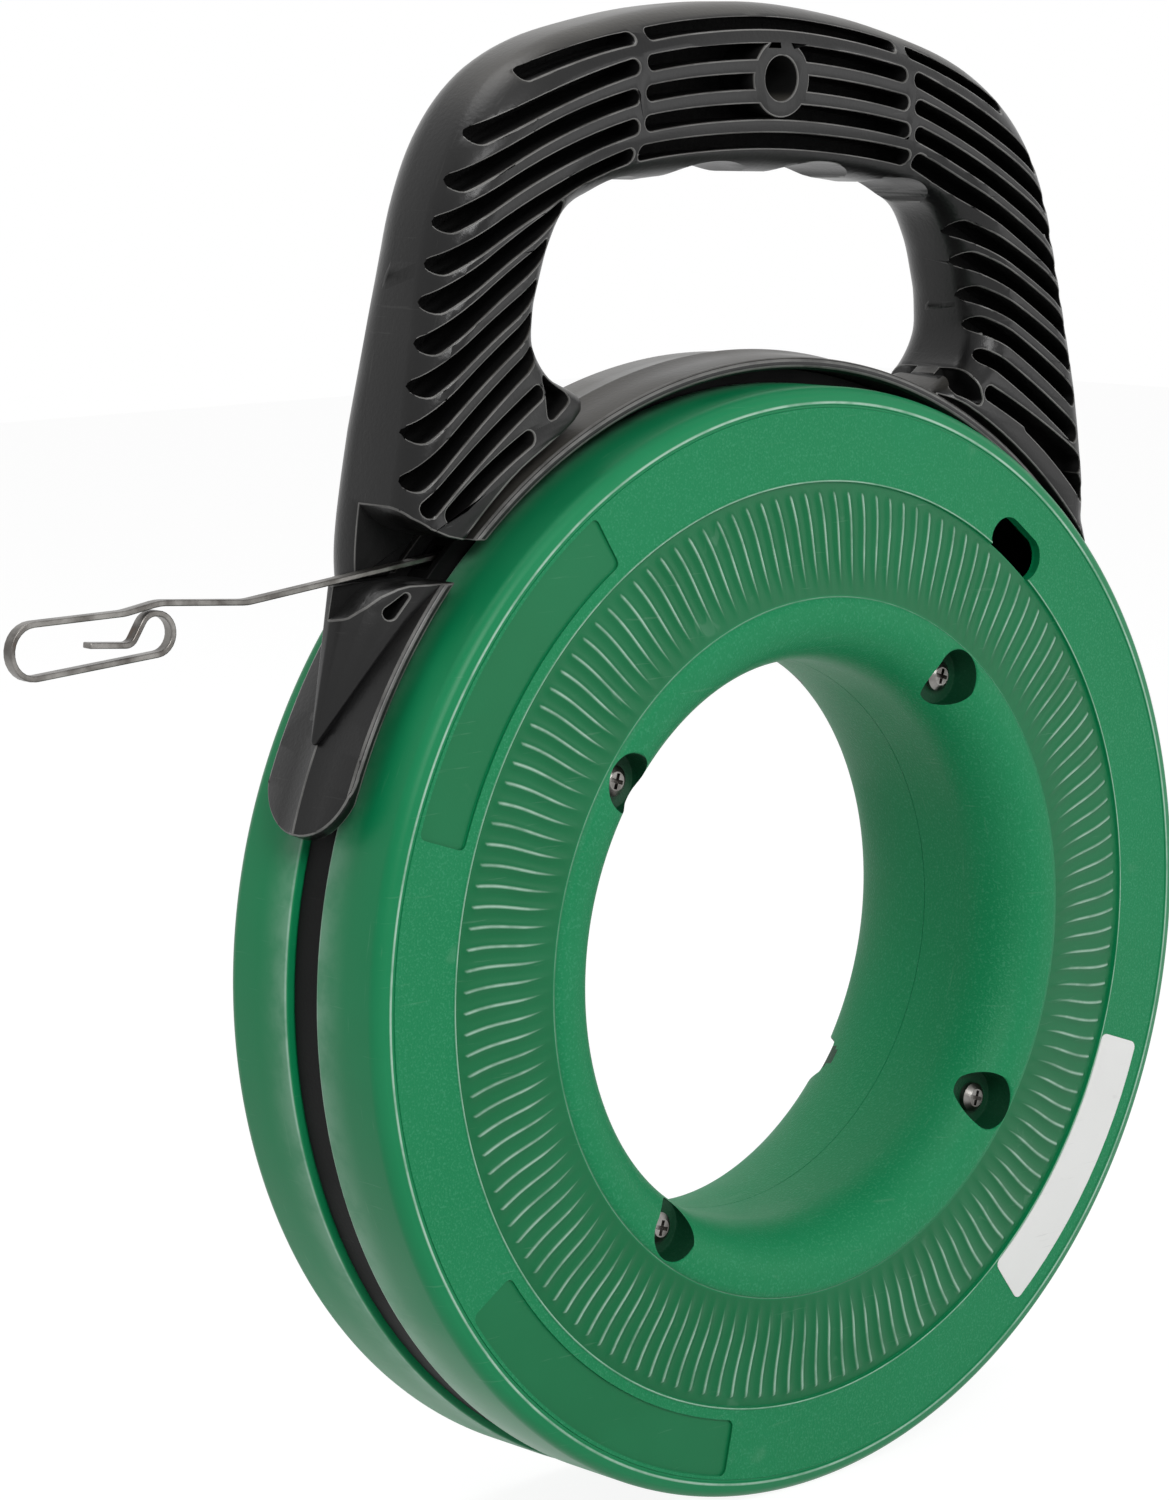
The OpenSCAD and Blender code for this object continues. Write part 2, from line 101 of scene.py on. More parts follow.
def addNode(tree, kind, values=None, **settings):
    node = tree.nodes.new(kind)
    for key, value in settings.items():
        setattr(node, key, value)
    for key, value in (values or {}).items():
        node.inputs[key].default_value = value
    return node


def mathNode(tree, operation, a, b=None):
    node = addNode(tree, "ShaderNodeMath", operation=operation)
    for slot, value in ((0, a), (1, b)):
        if value is None:
            continue
        if isinstance(value, (int, float)):
            node.inputs[slot].default_value = value
        else:
            tree.links.new(value, node.inputs[slot])
    return node.outputs[0]


def ramp(tree, value, low, high, toLow=0.0, toHigh=1.0):
    node = addNode(tree, "ShaderNodeMapRange", {1: low, 2: high, 3: toLow, 4: toHigh}, clamp=True,
                   interpolation_type="SMOOTHSTEP")
    tree.links.new(value, node.inputs[0])
    return node.outputs[0]


def mixColour(tree, factor, a, b):
    node = addNode(tree, "ShaderNodeMix", data_type="RGBA")
    for slot, value in ((0, factor), (6, a), (7, b)):
        if isinstance(value, (int, float)):
            node.inputs[slot].default_value = value
        elif isinstance(value, tuple):
            node.inputs[slot].default_value = value + (1.0,)
        else:
            tree.links.new(value, node.inputs[slot])
    return node.outputs[2]


def newGroup(name, ins, outs):
    group = bpy.data.node_groups.new(name, "ShaderNodeTree")
    for label, kind, value in ins:
        socket = group.interface.new_socket(name=label, in_out="INPUT", socket_type="NodeSocket" + kind)
        if value is not None:
            socket.default_value = value
    for label, kind in outs:
        group.interface.new_socket(name=label, in_out="OUTPUT", socket_type="NodeSocket" + kind)
    return group, group.nodes.new("NodeGroupInput"), group.nodes.new("NodeGroupOutput")


def useGroup(tree, group, links=None, **values):
    node = tree.nodes.new("ShaderNodeGroup")
    node.node_tree = group
    for key, value in values.items():
        node.inputs[key].default_value = value
    for key, socket in (links or {}).items():
        tree.links.new(socket, node.inputs[key])
    return node


def makeGrainGroup():
    # Spark-eroded mould texture: small rounded pits, with a slower drift in how deep they are
    group, start, end = newGroup("mouldGrain", [("Place", "Vector", None), ("Scale", "Float", 1400.0)],
                                 [("Height", "Float"), ("Speck", "Float")])
    fine = addNode(group, "ShaderNodeTexNoise", {"Detail": 2.0, "Roughness": 0.55})
    coarse = addNode(group, "ShaderNodeTexNoise", {"Detail": 1.0, "Scale": 90.0})
    for node in (fine, coarse):
        group.links.new(start.outputs["Place"], node.inputs["Vector"])
    group.links.new(start.outputs["Scale"], fine.inputs["Scale"])
    drift = ramp(group, coarse.outputs[0], 0.35, 0.65, 0.7, 1.0)
    height = mathNode(group, "MULTIPLY", fine.outputs[0], drift)
    group.links.new(height, end.inputs["Height"])
    group.links.new(ramp(group, fine.outputs[0], 0.52, 0.68), end.inputs["Speck"])
    return group


def makeWearGroup():
    # Rubbed edges with a painted edge highlight: a mask from the piece's own edge attribute, broken up by
    # noise
    group, start, end = newGroup("edgeRubAndHighlight", [("Place", "Vector", None), ("Edge", "Float", 0.0),
                                             ("From", "Float", 0.3), ("To", "Float", 0.8),
                                             ("Patch", "Float", 60.0)], [("Mask", "Float")])
    patches = addNode(group, "ShaderNodeTexNoise", {"Detail": 4.0, "Roughness": 0.6})
    group.links.new(start.outputs["Place"], patches.inputs["Vector"])
    group.links.new(start.outputs["Patch"], patches.inputs["Scale"])
    sharp = addNode(group, "ShaderNodeMapRange", clamp=True, interpolation_type="SMOOTHSTEP")
    group.links.new(start.outputs["Edge"], sharp.inputs[0])
    group.links.new(start.outputs["From"], sharp.inputs[1])
    group.links.new(start.outputs["To"], sharp.inputs[2])
    broken = ramp(group, patches.outputs[0], 0.3, 0.62, 0.45, 1.0)
    group.links.new(mathNode(group, "MULTIPLY", sharp.outputs[0], broken), end.inputs["Mask"])
    return group


def makeScuffGroup():
    # Handling marks: thin broken scratches in two directions, and cloudy rubbed patches
    group, start, end = newGroup("scuffs", [("Place", "Vector", None), ("Scale", "Float", 60.0)],
                                 [("Lines", "Float"), ("Cloud", "Float")])
    found = []
    for turn, stretch in (((0.4, 0.9, 0.2), (1.0, 14.0, 1.0)), ((1.1, 0.1, 0.7), (1.0, 1.0, 18.0))):
        mapping = addNode(group, "ShaderNodeMapping", {"Rotation": turn, "Scale": stretch})
        streak = addNode(group, "ShaderNodeTexNoise", {"Detail": 3.0, "Roughness": 0.6})
        group.links.new(start.outputs["Place"], mapping.inputs["Vector"])
        group.links.new(mapping.outputs[0], streak.inputs["Vector"])
        group.links.new(start.outputs["Scale"], streak.inputs["Scale"])
        found.append(ramp(group, streak.outputs[0], 0.66, 0.74))
    cloud = addNode(group, "ShaderNodeTexNoise", {"Detail": 3.0, "Scale": 22.0})
    group.links.new(start.outputs["Place"], cloud.inputs["Vector"])
    group.links.new(mathNode(group, "MAXIMUM", found[0], found[1]), end.inputs["Lines"])
    group.links.new(ramp(group, cloud.outputs[0], 0.4, 0.7), end.inputs["Cloud"])
    return group


def makeZoneGroup():
    # Distance from the case's axis and height over its middle plane, for zones on the case
    group, start, end = newGroup("caseZones", [("Place", "Vector", None)],
                                 [("Radius", "Float"), ("Height", "Float")])
    parts = addNode(group, "ShaderNodeSeparateXYZ")
    group.links.new(start.outputs["Place"], parts.inputs[0])
    flat = addNode(group, "ShaderNodeCombineXYZ")
    group.links.new(parts.outputs[0], flat.inputs[0])
    group.links.new(parts.outputs[2], flat.inputs[2])
    length = addNode(group, "ShaderNodeVectorMath", operation="LENGTH")
    group.links.new(flat.outputs[0], length.inputs[0])
    group.links.new(length.outputs["Value"], end.inputs["Radius"])
    group.links.new(mathNode(group, "ABSOLUTE", parts.outputs[1]), end.inputs["Height"])
    return group


def newMaterial(name, **constants):
    material = bpy.data.materials.new(name)
    material.use_nodes = True
    tree = material.node_tree
    shader = tree.nodes["Principled BSDF"]
    for key, value in constants.items():
        shader.inputs[key.replace("_", " ")].default_value = value
    place = addNode(tree, "ShaderNodeTexCoord").outputs["Object"]
    return material, tree, shader, place


def bumpInto(tree, shader, height, distance, strength):
    bump = addNode(tree, "ShaderNodeBump", {"Distance": distance, "Strength": strength})
    tree.links.new(height, bump.inputs["Height"])
    tree.links.new(bump.outputs[0], shader.inputs["Normal"])


def seenRays(tree):
    # 1 for what the lens, a reflection or a clear piece sees, 0 for the light that falls on the reel
    ray = addNode(tree, "ShaderNodeLightPath")
    seen = mathNode(tree, "MAXIMUM", ray.outputs["Is Camera Ray"], ray.outputs["Is Glossy Ray"])
    return mathNode(tree, "MAXIMUM", seen, ray.outputs["Is Transmission Ray"])


def attributeOf(tree, name):
    return addNode(tree, "ShaderNodeAttribute", attribute_name=name).outputs["Fac"]


greenFinish = {
    "plain": (0.003, 0.205, 0.074),
    "deep": (0.001, 0.135, 0.044),
    "rubbedAndHighlit": (0.07, 0.35, 0.19),
    # pale: rubbed edges with a painted highlight, and the colour of scratches
    "pale": (0.42, 0.62, 0.50),
    # painted shade: near black laid on the floors of the hub pockets
    "paintedShade": (0.001, 0.010, 0.004),
    "cloudShare": 0.07, "speckShare": 0.30, "wearAndHighlightShare": 0.85, "scratchShare": 0.06, "pocketShadeShare": 0.85,
    "roughSmooth": 0.36, "roughGrained": 0.48, "grainDepth": 0.00022,
    # radii and heights of the case's zones, in metres
    "bandIn": 0.0962, "bandOut": 0.127, "bandHeights": (0.026, 0.0275),
    "faceHeight": 0.0308, "grainEdge": (0.1470, 0.1474),
    "panelIn": 0.1306, "panelOut": 0.1459, "panelHeights": (0.0285, 0.0290), "panelShade": 0.75,
}


def makeGreenPlastic(groups, s):
    material, tree, shader, place = newMaterial("caseGreenPlastic", Specular_IOR_Level=0.22)
    zones = useGroup(tree, groups["zones"], {"Place": place})
    radius, height = zones.outputs[0], zones.outputs[1]
    grain = useGroup(tree, groups["grain"], {"Place": place}, Scale=1500.0)
    scuff = useGroup(tree, groups["scuff"], {"Place": place}, Scale=48.0)
    wearAndHighlight = useGroup(tree, groups["wearAndHighlight"], {"Place": place, "Edge": attributeOf(tree, "edge")},
                    From=0.2, To=0.9, Patch=90.0)
    # Grained zones: the flat ring of the face, the crest and the bore. Sunken panels are smooth and darker
    level = s["faceHeight"]
    ringZone = mathNode(tree, "MULTIPLY", ramp(tree, radius, s["bandOut"], s["bandOut"] + 0.0004),
                        ramp(tree, height, level - 0.0003, level - 0.0001))
    ringZone = mathNode(tree, "MULTIPLY", ringZone, ramp(tree, radius, *s["grainEdge"], 1.0, 0.15))
    hubZone = ramp(tree, radius, s["bandIn"] - 0.0004, s["bandIn"], 1.0, 0.0)
    grained = mathNode(tree, "MAXIMUM", ringZone, hubZone)
    bandZone = mathNode(tree, "MULTIPLY", ramp(tree, radius, s["bandIn"], s["bandIn"] + 0.0006),
                        ramp(tree, radius, s["bandOut"] - 0.0006, s["bandOut"], 1.0, 0.0))
    bandZone = mathNode(tree, "MULTIPLY", bandZone, ramp(tree, height, *s["bandHeights"]))
    panelZone = mathNode(tree, "MULTIPLY", ramp(tree, radius, s["panelIn"], s["panelIn"] + 0.0002),
                         ramp(tree, radius, s["panelOut"] - 0.0002, s["panelOut"], 1.0, 0.0))
    panelZone = mathNode(tree, "MULTIPLY", panelZone,
                         ramp(tree, height, level - 0.0004, level - 0.0002, 1.0, 0.0))
    panelZone = mathNode(tree, "MULTIPLY", panelZone, ramp(tree, height, *s["panelHeights"]))
    dark = mathNode(tree, "MAXIMUM", bandZone, mathNode(tree, "MULTIPLY", panelZone, s["panelShade"]))
    colour = mixColour(tree, dark, s["plain"], s["deep"])
    speck = mathNode(tree, "MULTIPLY", grain.outputs["Speck"], grained)
    # Random rubbed patches and specks, rubbed edges with a painted highlight, scratches, and painted shade on
    # the pocket floors
    for mask, share, over in ((scuff.outputs["Cloud"], s["cloudShare"], s["rubbedAndHighlit"]),
                              (speck, s["speckShare"], s["rubbedAndHighlit"]),
                              (wearAndHighlight.outputs[0], s["wearAndHighlightShare"], s["pale"]),
                              (scuff.outputs["Lines"], s["scratchShare"], s["pale"]),
                              (attributeOf(tree, "deep"), s["pocketShadeShare"], s["paintedShade"])):
        colour = mixColour(tree, mathNode(tree, "MULTIPLY", mask, share), colour, over)
    tree.links.new(colour, shader.inputs["Base Color"])
    rough = mathNode(tree, "ADD", ramp(tree, grained, 0.0, 1.0, s["roughSmooth"], s["roughGrained"]),
                     mathNode(tree, "MULTIPLY", scuff.outputs["Cloud"], 0.10))
    tree.links.new(rough, shader.inputs["Roughness"])
    relief = mathNode(tree, "MULTIPLY", grain.outputs["Height"], ramp(tree, grained, 0.0, 1.0, 0.10, 1.0))
    bumpInto(tree, shader, relief, s["grainDepth"], 0.9)
    return material


gripFinish = {
    "satin": 0.28, "specular": 0.3,
    "plain": (0.0055, 0.0055, 0.0057),
    "grey": (0.020, 0.0196, 0.019),
    # edge colour: wear with a painted edge highlight, also used for scratches
    "rubbedAndHighlit": (0.20, 0.197, 0.19),
    # painted shade for the floors of the slots and of the mouth
    "paintedShade": (0.0015, 0.0015, 0.0015),
    # dust together with a painted sheen from above, on what looks up
    "dustAndSheen": (0.115, 0.108, 0.095), "dustAndSheenShare": 0.55,
}


ringFinish = {
    "satin": 0.55, "specular": 0.12,
    "plain": (0.0025, 0.0025, 0.0026),
    "grey": (0.007, 0.007, 0.007),
    # edge colour: wear with a painted edge highlight, also used for scratches
    "rubbedAndHighlit": (0.05, 0.05, 0.05),
    # painted shade for floors marked deep
    "paintedShade": (0.0015, 0.0015, 0.0015),
    # dust together with a painted sheen from above, on what looks up
    "dustAndSheen": (0.02, 0.02, 0.018), "dustAndSheenShare": 0.3,
}


def makeBlackPlastic(groups, s, name):
    material, tree, shader, place = newMaterial(name, Specular_IOR_Level=s["specular"])
    grain = useGroup(tree, groups["grain"], {"Place": place}, Scale=900.0)
    scuff = useGroup(tree, groups["scuff"], {"Place": place}, Scale=40.0)
    deep = attributeOf(tree, "deep")
    wearAndHighlight = useGroup(tree, groups["wearAndHighlight"], {"Place": place, "Edge": attributeOf(tree, "edge")},
                    From=0.2, To=0.85, Patch=90.0)
    facing = addNode(tree, "ShaderNodeSeparateXYZ")
    tree.links.new(addNode(tree, "ShaderNodeNewGeometry").outputs["Normal"], facing.inputs[0])
    # Dust and a painted sheen lighten what looks up, but not inside the slots
    dustAndSheen = mathNode(tree, "MULTIPLY", ramp(tree, facing.outputs[2], 0.55, 0.98),
                    ramp(tree, scuff.outputs["Cloud"], 0.0, 1.0, 0.65, 1.0))
    dustAndSheen = mathNode(tree, "MULTIPLY", dustAndSheen, ramp(tree, deep, 0.0, 0.05, 1.0, 0.0))
    # Rubbed edges get a painted highlight
    colour = s["plain"]
    for mask, share, over in ((scuff.outputs["Cloud"], 0.35, s["grey"]), (dustAndSheen, s["dustAndSheenShare"], s["dustAndSheen"]),
                              (wearAndHighlight.outputs[0], 0.8, s["rubbedAndHighlit"]),
                              (scuff.outputs["Lines"], 0.06, s["rubbedAndHighlit"])):
        colour = mixColour(tree, mathNode(tree, "MULTIPLY", mask, share), colour, over)
    # Painted shade: the floors of the slots and of the mouth are darkened
    colour = mixColour(tree, ramp(tree, deep, 0.0, 0.5), colour, s["paintedShade"])
    tree.links.new(colour, shader.inputs["Base Color"])
    rough = mathNode(tree, "ADD", s["satin"], mathNode(tree, "MULTIPLY", scuff.outputs["Cloud"], 0.12))
    rough = mathNode(tree, "MAXIMUM", rough, mathNode(tree, "MULTIPLY", deep, 0.9))
    tree.links.new(rough, shader.inputs["Roughness"])
    lumps = addNode(tree, "ShaderNodeTexNoise", {"Scale": 210.0, "Detail": 4.0})
    tree.links.new(place, lumps.inputs["Vector"])
    lumpy = mathNode(tree, "MULTIPLY", mathNode(tree, "MULTIPLY", lumps.outputs[0], deep), 14.0)
    relief = mathNode(tree, "ADD", grain.outputs["Height"], lumpy)
    bumpInto(tree, shader, relief, 0.00012, 0.6)
    return material


steelFinish = {
    "bright": (0.42, 0.41, 0.39),
    "dark": (0.085, 0.078, 0.072),
    "brown": (0.10, 0.065, 0.045),
}


def makeSteel(groups, s, name, darkShare, roughness):
    material, tree, shader, place = newMaterial(name, Metallic=1.0)
    scuff = useGroup(tree, groups["scuff"], {"Place": place}, Scale=110.0)
    stain = addNode(tree, "ShaderNodeTexNoise", {"Scale": 160.0, "Detail": 4.0})
    tree.links.new(place, stain.inputs["Vector"])
    colour = mixColour(tree, ramp(tree, stain.outputs[0], 0.3, 0.7, darkShare, 1.0), s["bright"], s["dark"])
    colour = mixColour(tree, ramp(tree, stain.outputs[0], 0.62, 0.75, 0.0, 0.5), colour, s["brown"])
    tree.links.new(colour, shader.inputs["Base Color"])
    rough = mathNode(tree, "ADD", roughness, mathNode(tree, "MULTIPLY", scuff.outputs["Cloud"], 0.15))
    tree.links.new(rough, shader.inputs["Roughness"])
    relief = mathNode(tree, "ADD", stain.outputs[0], scuff.outputs["Lines"])
    bumpInto(tree, shader, relief, 0.00006, 0.5)
    return material


labelFinish = {
    "film": (0.80, 0.80, 0.79),
    "smudge": (0.66, 0.66, 0.64),
    "scratch": (0.5, 0.5, 0.5),
}


def makeLabelFilm(groups, s):
    material, tree, shader, place = newMaterial("labelFilm", Specular_IOR_Level=0.5)
    scuff = useGroup(tree, groups["scuff"], {"Place": place}, Scale=70.0)
    colour = mixColour(tree, mathNode(tree, "MULTIPLY", scuff.outputs["Cloud"], 0.2), s["film"], s["smudge"])
    colour = mixColour(tree, mathNode(tree, "MULTIPLY", scuff.outputs["Lines"], 0.3), colour, s["scratch"])
    tree.links.new(colour, shader.inputs["Base Color"])
    tree.links.new(ramp(tree, scuff.outputs["Cloud"], 0, 1, 0.28, 0.42), shader.inputs["Roughness"])
    bumpInto(tree, shader, scuff.outputs["Cloud"], 0.00005, 0.5)
    return material


def makeFloorMaterial(s):
    # Pale floor: white to the lens and to reflections, with the shadow of the reel kept
    material, tree, shader, place = newMaterial("paleFloor", Roughness=0.9, Specular_IOR_Level=0.1)
    speckle = addNode(tree, "ShaderNodeTexNoise", {"Scale": 40.0, "Detail": 3.0})
    tree.links.new(place, speckle.inputs["Vector"])
    tree.links.new(mixColour(tree, speckle.outputs[0], (0.86, 0.86, 0.86), (0.88, 0.88, 0.88)),
                   shader.inputs["Base Color"])
    glow = addNode(tree, "ShaderNodeEmission", {"Color": (1, 1, 1, 1), "Strength": s["floorGlow"]})
    blend = addNode(tree, "ShaderNodeMixShader")
    tree.links.new(mathNode(tree, "MULTIPLY", seenRays(tree), s["glowShare"]), blend.inputs[0])
    tree.links.new(shader.outputs[0], blend.inputs[1])
    tree.links.new(glow.outputs[0], blend.inputs[2])
    tree.links.new(blend.outputs[0], tree.nodes["Material Output"].inputs["Surface"])
    return material


def makeSky(strength):
    world = bpy.data.worlds.new("whiteStudio")
    bpy.context.scene.world = world
    world.use_nodes = True
    tree = world.node_tree
    base = tree.nodes["Background"]
    base.inputs["Color"].default_value = (1, 1, 1, 1)
    base.inputs["Strength"].default_value = strength
    seenSky = addNode(tree, "ShaderNodeBackground", {"Color": (1, 1, 1, 1), "Strength": 1.0})
    blend = addNode(tree, "ShaderNodeMixShader")
    tree.links.new(seenRays(tree), blend.inputs[0])
    tree.links.new(base.outputs[0], blend.inputs[1])
    tree.links.new(seenSky.outputs[0], blend.inputs[2])
    tree.links.new(blend.outputs[0], tree.nodes["World Output"].inputs["Surface"])


def makeFloor(s):
    mesh = bpy.data.meshes.new("floor")
    bm = bmesh.new()
    bmesh.ops.create_grid(bm, x_segments=1, y_segments=1, size=s["floorHalf"])
    bmesh.ops.translate(bm, vec=(0, 0, cadBox[0][2] - s["floorGap"]), verts=bm.verts)
    bm.to_mesh(mesh)
    bm.free()
    floor = bpy.data.objects.new("floor", mesh)
    bpy.context.collection.objects.link(floor)
    floor.data.materials.append(makeFloorMaterial(s))


def finishPiece(name, bm, material, body, node, smoothAngle):
    bmesh.ops.recalc_face_normals(bm, faces=bm.faces)
    mesh = bpy.data.meshes.new(name)
    bm.to_mesh(mesh)
    bm.free()
    piece = bpy.data.objects.new(name, mesh)
    bpy.context.collection.objects.link(piece)
    mesh.materials.append(material)
    mesh.shade_smooth()
    mesh.set_sharp_from_angle(angle=math.radians(smoothAngle))
    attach(piece, body)
    if node:
        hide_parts(node)
    return piece


def scratchObject(name, bm):
    mesh = bpy.data.meshes.new(name)
    bmesh.ops.recalc_face_normals(bm, faces=bm.faces)
    bm.to_mesh(mesh)
    bm.free()
    piece = bpy.data.objects.new(name, mesh)
    bpy.context.collection.objects.link(piece)
    return piece


def cutWith(bm, cutters, operation="DIFFERENCE", overlap=False):
    # Takes the cutters out of the mesh and returns the result
    base = scratchObject("cutBase", bm)
    for cutter in cutters:
        step = base.modifiers.new("cut", "BOOLEAN")
        step.operation = operation
        step.solver = "EXACT"
        step.use_self = overlap
        step.object = cutter
    ready = base.evaluated_get(bpy.context.evaluated_depsgraph_get())
    result = bmesh.new()
    result.from_mesh(ready.to_mesh())
    ready.to_mesh_clear()
    for used in [base] + list(cutters):
        mesh = used.data
        bpy.data.objects.remove(used)
        bpy.data.meshes.remove(mesh)
    return result


def turnMatrix(turn):
    # A turn clockwise from the top, seen from the front
    return Matrix.Rotation(math.radians(turn), 4, "Y")


caseSizes = {
    "bore": 77.5, "rim": 152.5, "crestHeight": 35.0, "landHeights": (16.0, 5.0), "crest": 91.0,
    "crestFlat": 3.5, "bandIn": 96.2, "bandInHeight": 34.6, "bandOut": 127.0, "bandOutHeight": 31.2,
    "face": 30.8, "rimRound": 4.0, "rise": 0.9, "slotHalf": 5.8, "lip": 149.1, "wall": 3.0,
    "drumIn": 10.0, "drumOut": 7.4, "drumEnd": 2.8, "hubOut": 105.0, "hubDeep": 27.0,
    "steps": 426, "flutes": 142, "fluteLines": 7, "fluteSteps": 30,
    # height round one flute: a steep flank and a soft one
    "fluteSection": (1.0, 0.62, 0.20, 0.02, 0.0, 0.06, 0.42),
    "pockets": 4, "pocketRadius": 8.0, "pocketCircle": 87.5, "pocketFloor": 26.0, "pocketTurn": 38.0,
    "pocketFlare": 0.9,
    "windowTurn": 38.6, "windowRadius": 131.0, "windowLength": 22.0, "windowWidth": 13.0,
    "windowFrom": 24.0, "windowDepth": 12.0,
    "panels": ((-71.0, -32.0), (-167.0, -123.0)), "panelIn": 130.5, "panelOut": 146.0, "panelDepth": 0.7,
    "panelCorner": 3.2,
    # rubbed lines with a painted edge highlight: radius, height and how strong, for every ridge that shows a
    # light edge
    "ridges": ((148.2, 30.82, 1.0), (148.6, 30.8, 0.6), (127.15, 31.2, 0.9), (127.45, 31.15, 0.5),
               (96.2, 33.65, 0.6), (152.38, 6.4, 0.8), (152.5, 7.0, 0.5)),
    "ridgeReach": 0.06,
}


def arcPoints(centre, a, b, first, last, count):
    turns = [math.radians(first + (last - first) * i / count) for i in range(count + 1)]
    return [(centre[0] + a * math.cos(t), centre[1] + b * math.sin(t)) for t in turns]


def shellOutline(s, side):
    # Radius and height of one shell's section. The hub is drawn solid, because the pockets are cut into it
    points = [(s["bore"], 0.1)]
    land = s["landHeights"][0 if side < 0 else 1]
    points += arcPoints((s["crest"], land), s["crest"] - s["bore"], s["crestHeight"] - land, 180, 90, 26)
    points += [(s["crest"] + s["crestFlat"] - 0.6, s["crestHeight"]), (s["crest"] + s["crestFlat"], 34.86),
               (s["bandIn"] - 0.5, 34.3), (s["bandIn"], s["bandInHeight"] - s["rise"] - 0.05),
               (s["bandIn"] + 0.6, s["bandInHeight"] - s["rise"] - 0.15),
               (s["bandOut"] - 0.5, s["bandOutHeight"] - s["rise"] - 0.12),
               (s["bandOut"] - 0.1, s["bandOutHeight"] - s["rise"]),
               (s["bandOut"], s["bandOutHeight"] - 0.15),
               (s["bandOut"] + 0.15, s["bandOutHeight"]), (s["bandOut"] + 0.45, s["bandOutHeight"] - 0.05),
               (s["bandOut"] + 0.75, s["face"] + 0.05), (s["bandOut"] + 1.1, s["face"])]
    points += [(s["rim"] - 5.6, s["face"]), (s["rim"] - 5.4, s["face"] - 0.3),
               (s["rim"] - 4.9, s["face"] - 0.3), (s["rim"] - 4.7, s["face"]),
               (s["rim"] - 4.3, s["face"] + 0.02), (s["rim"] - 3.9, s["face"]),
               (s["rim"] - 3.6, s["face"] - 0.12)]
    turn = s["rimRound"]
    points += arcPoints((s["rim"] - turn, s["face"] - turn), turn, turn, 66, 0, 8)
    points += [(s["rim"], s["slotHalf"] + 1.2), (s["rim"] - 0.12, s["slotHalf"] + 0.6),
               (s["rim"] - 0.5, s["slotHalf"] + 0.15), (s["rim"] - 1.0, s["slotHalf"]),
               (s["lip"] + 0.3, s["slotHalf"]), (s["lip"], s["slotHalf"] + 0.3),
               (s["lip"], s["face"] - s["wall"] - 2), (s["lip"] - 2, s["face"] - s["wall"]),
               (s["bandOut"] - s["drumOut"], s["face"] - s["wall"]),
               (s["bandOut"] - s["drumOut"], s["drumEnd"]),
               (s["bandOut"] - s["drumIn"], s["drumEnd"]), (s["bandOut"] - s["drumIn"], s["hubDeep"]),
               (s["hubOut"], s["hubDeep"]), (s["hubOut"], 0.1)]
    return points


def spinOutline(bm, points, side, steps):
    verts = [bm.verts.new((r * mm, side * h * mm, 0)) for r, h in points]
    edges = [bm.edges.new((verts[i], verts[(i + 1) % len(verts)])) for i in range(len(verts))]
    bmesh.ops.spin(bm, geom=verts + edges, cent=(0, 0, 0), axis=(0, 1, 0), angle=math.tau,
                   steps=steps, use_merge=True)
    bmesh.ops.remove_doubles(bm, verts=bm.verts, dist=1e-6)


def roundCutter(radius, low, high, side, centre, flare, segments=72):
    # A straight cutter along Y, with its top edge flared to leave a softened rim
    bm = bmesh.new()
    points = [(0.0, low), (radius - 0.8, low), (radius - 0.25, low + 0.2), (radius, low + 0.8)]
    points += [(radius, high - flare)] + arcPoints((radius + flare, high - flare), flare, flare, 162, 90, 4)
    points += [(radius + flare, high + 3), (0.0, high + 3)]
    verts = [bm.verts.new((r * mm, side * h * mm, 0)) for r, h in points]
    for i in range(len(verts) - 1):
        bm.edges.new((verts[i], verts[i + 1]))
    bmesh.ops.spin(bm, geom=list(bm.verts) + list(bm.edges), cent=(0, 0, 0), axis=(0, 1, 0), angle=math.tau,
                   steps=segments, use_merge=True)
    bmesh.ops.remove_doubles(bm, verts=bm.verts, dist=1e-6)
    bmesh.ops.translate(bm, vec=centre, verts=bm.verts)
    return bm


def blockFromFace(bm, depth, side):
    # Pulls a flat outline along Y into a block
    pulled = bmesh.ops.extrude_face_region(bm, geom=list(bm.faces), use_keep_orig=True)
    moved = [g for g in pulled["geom"] if isinstance(g, bmesh.types.BMVert)]
    bmesh.ops.translate(bm, vec=(0, side * depth * mm, 0), verts=moved)


def roundCorners(bm, sharpness, offset, segments):
    upright = [e for e in bm.edges if abs((e.verts[0].co - e.verts[1].co).normalized().y) > 0.99
               and e.calc_face_angle(0) > math.radians(sharpness)]
    bmesh.ops.bevel(bm, geom=upright, offset=offset * mm, offset_type="OFFSET", affect="EDGES",
                    segments=segments, profile=0.5, material=-1, clamp_overlap=True)


def panelCutter(s, turns, side):
    bm = bmesh.new()
    low, high = s["face"] - s["panelDepth"], s["face"] + 1
    ends = [bm.verts.new((0, side * low * mm, r * mm)) for r in (s["panelIn"], s["panelOut"])]
    edge = bm.edges.new(ends)
    bmesh.ops.rotate(bm, cent=(0, 0, 0), matrix=turnMatrix(turns[0]), verts=ends)
    bmesh.ops.spin(bm, geom=ends + [edge], cent=(0, 0, 0), axis=(0, 1, 0),
                   angle=math.radians(turns[1] - turns[0]), steps=48)
    blockFromFace(bm, high - low, side)
    bmesh.ops.recalc_face_normals(bm, faces=bm.faces)
    roundCorners(bm, 60, s["panelCorner"], 5)
    return bm


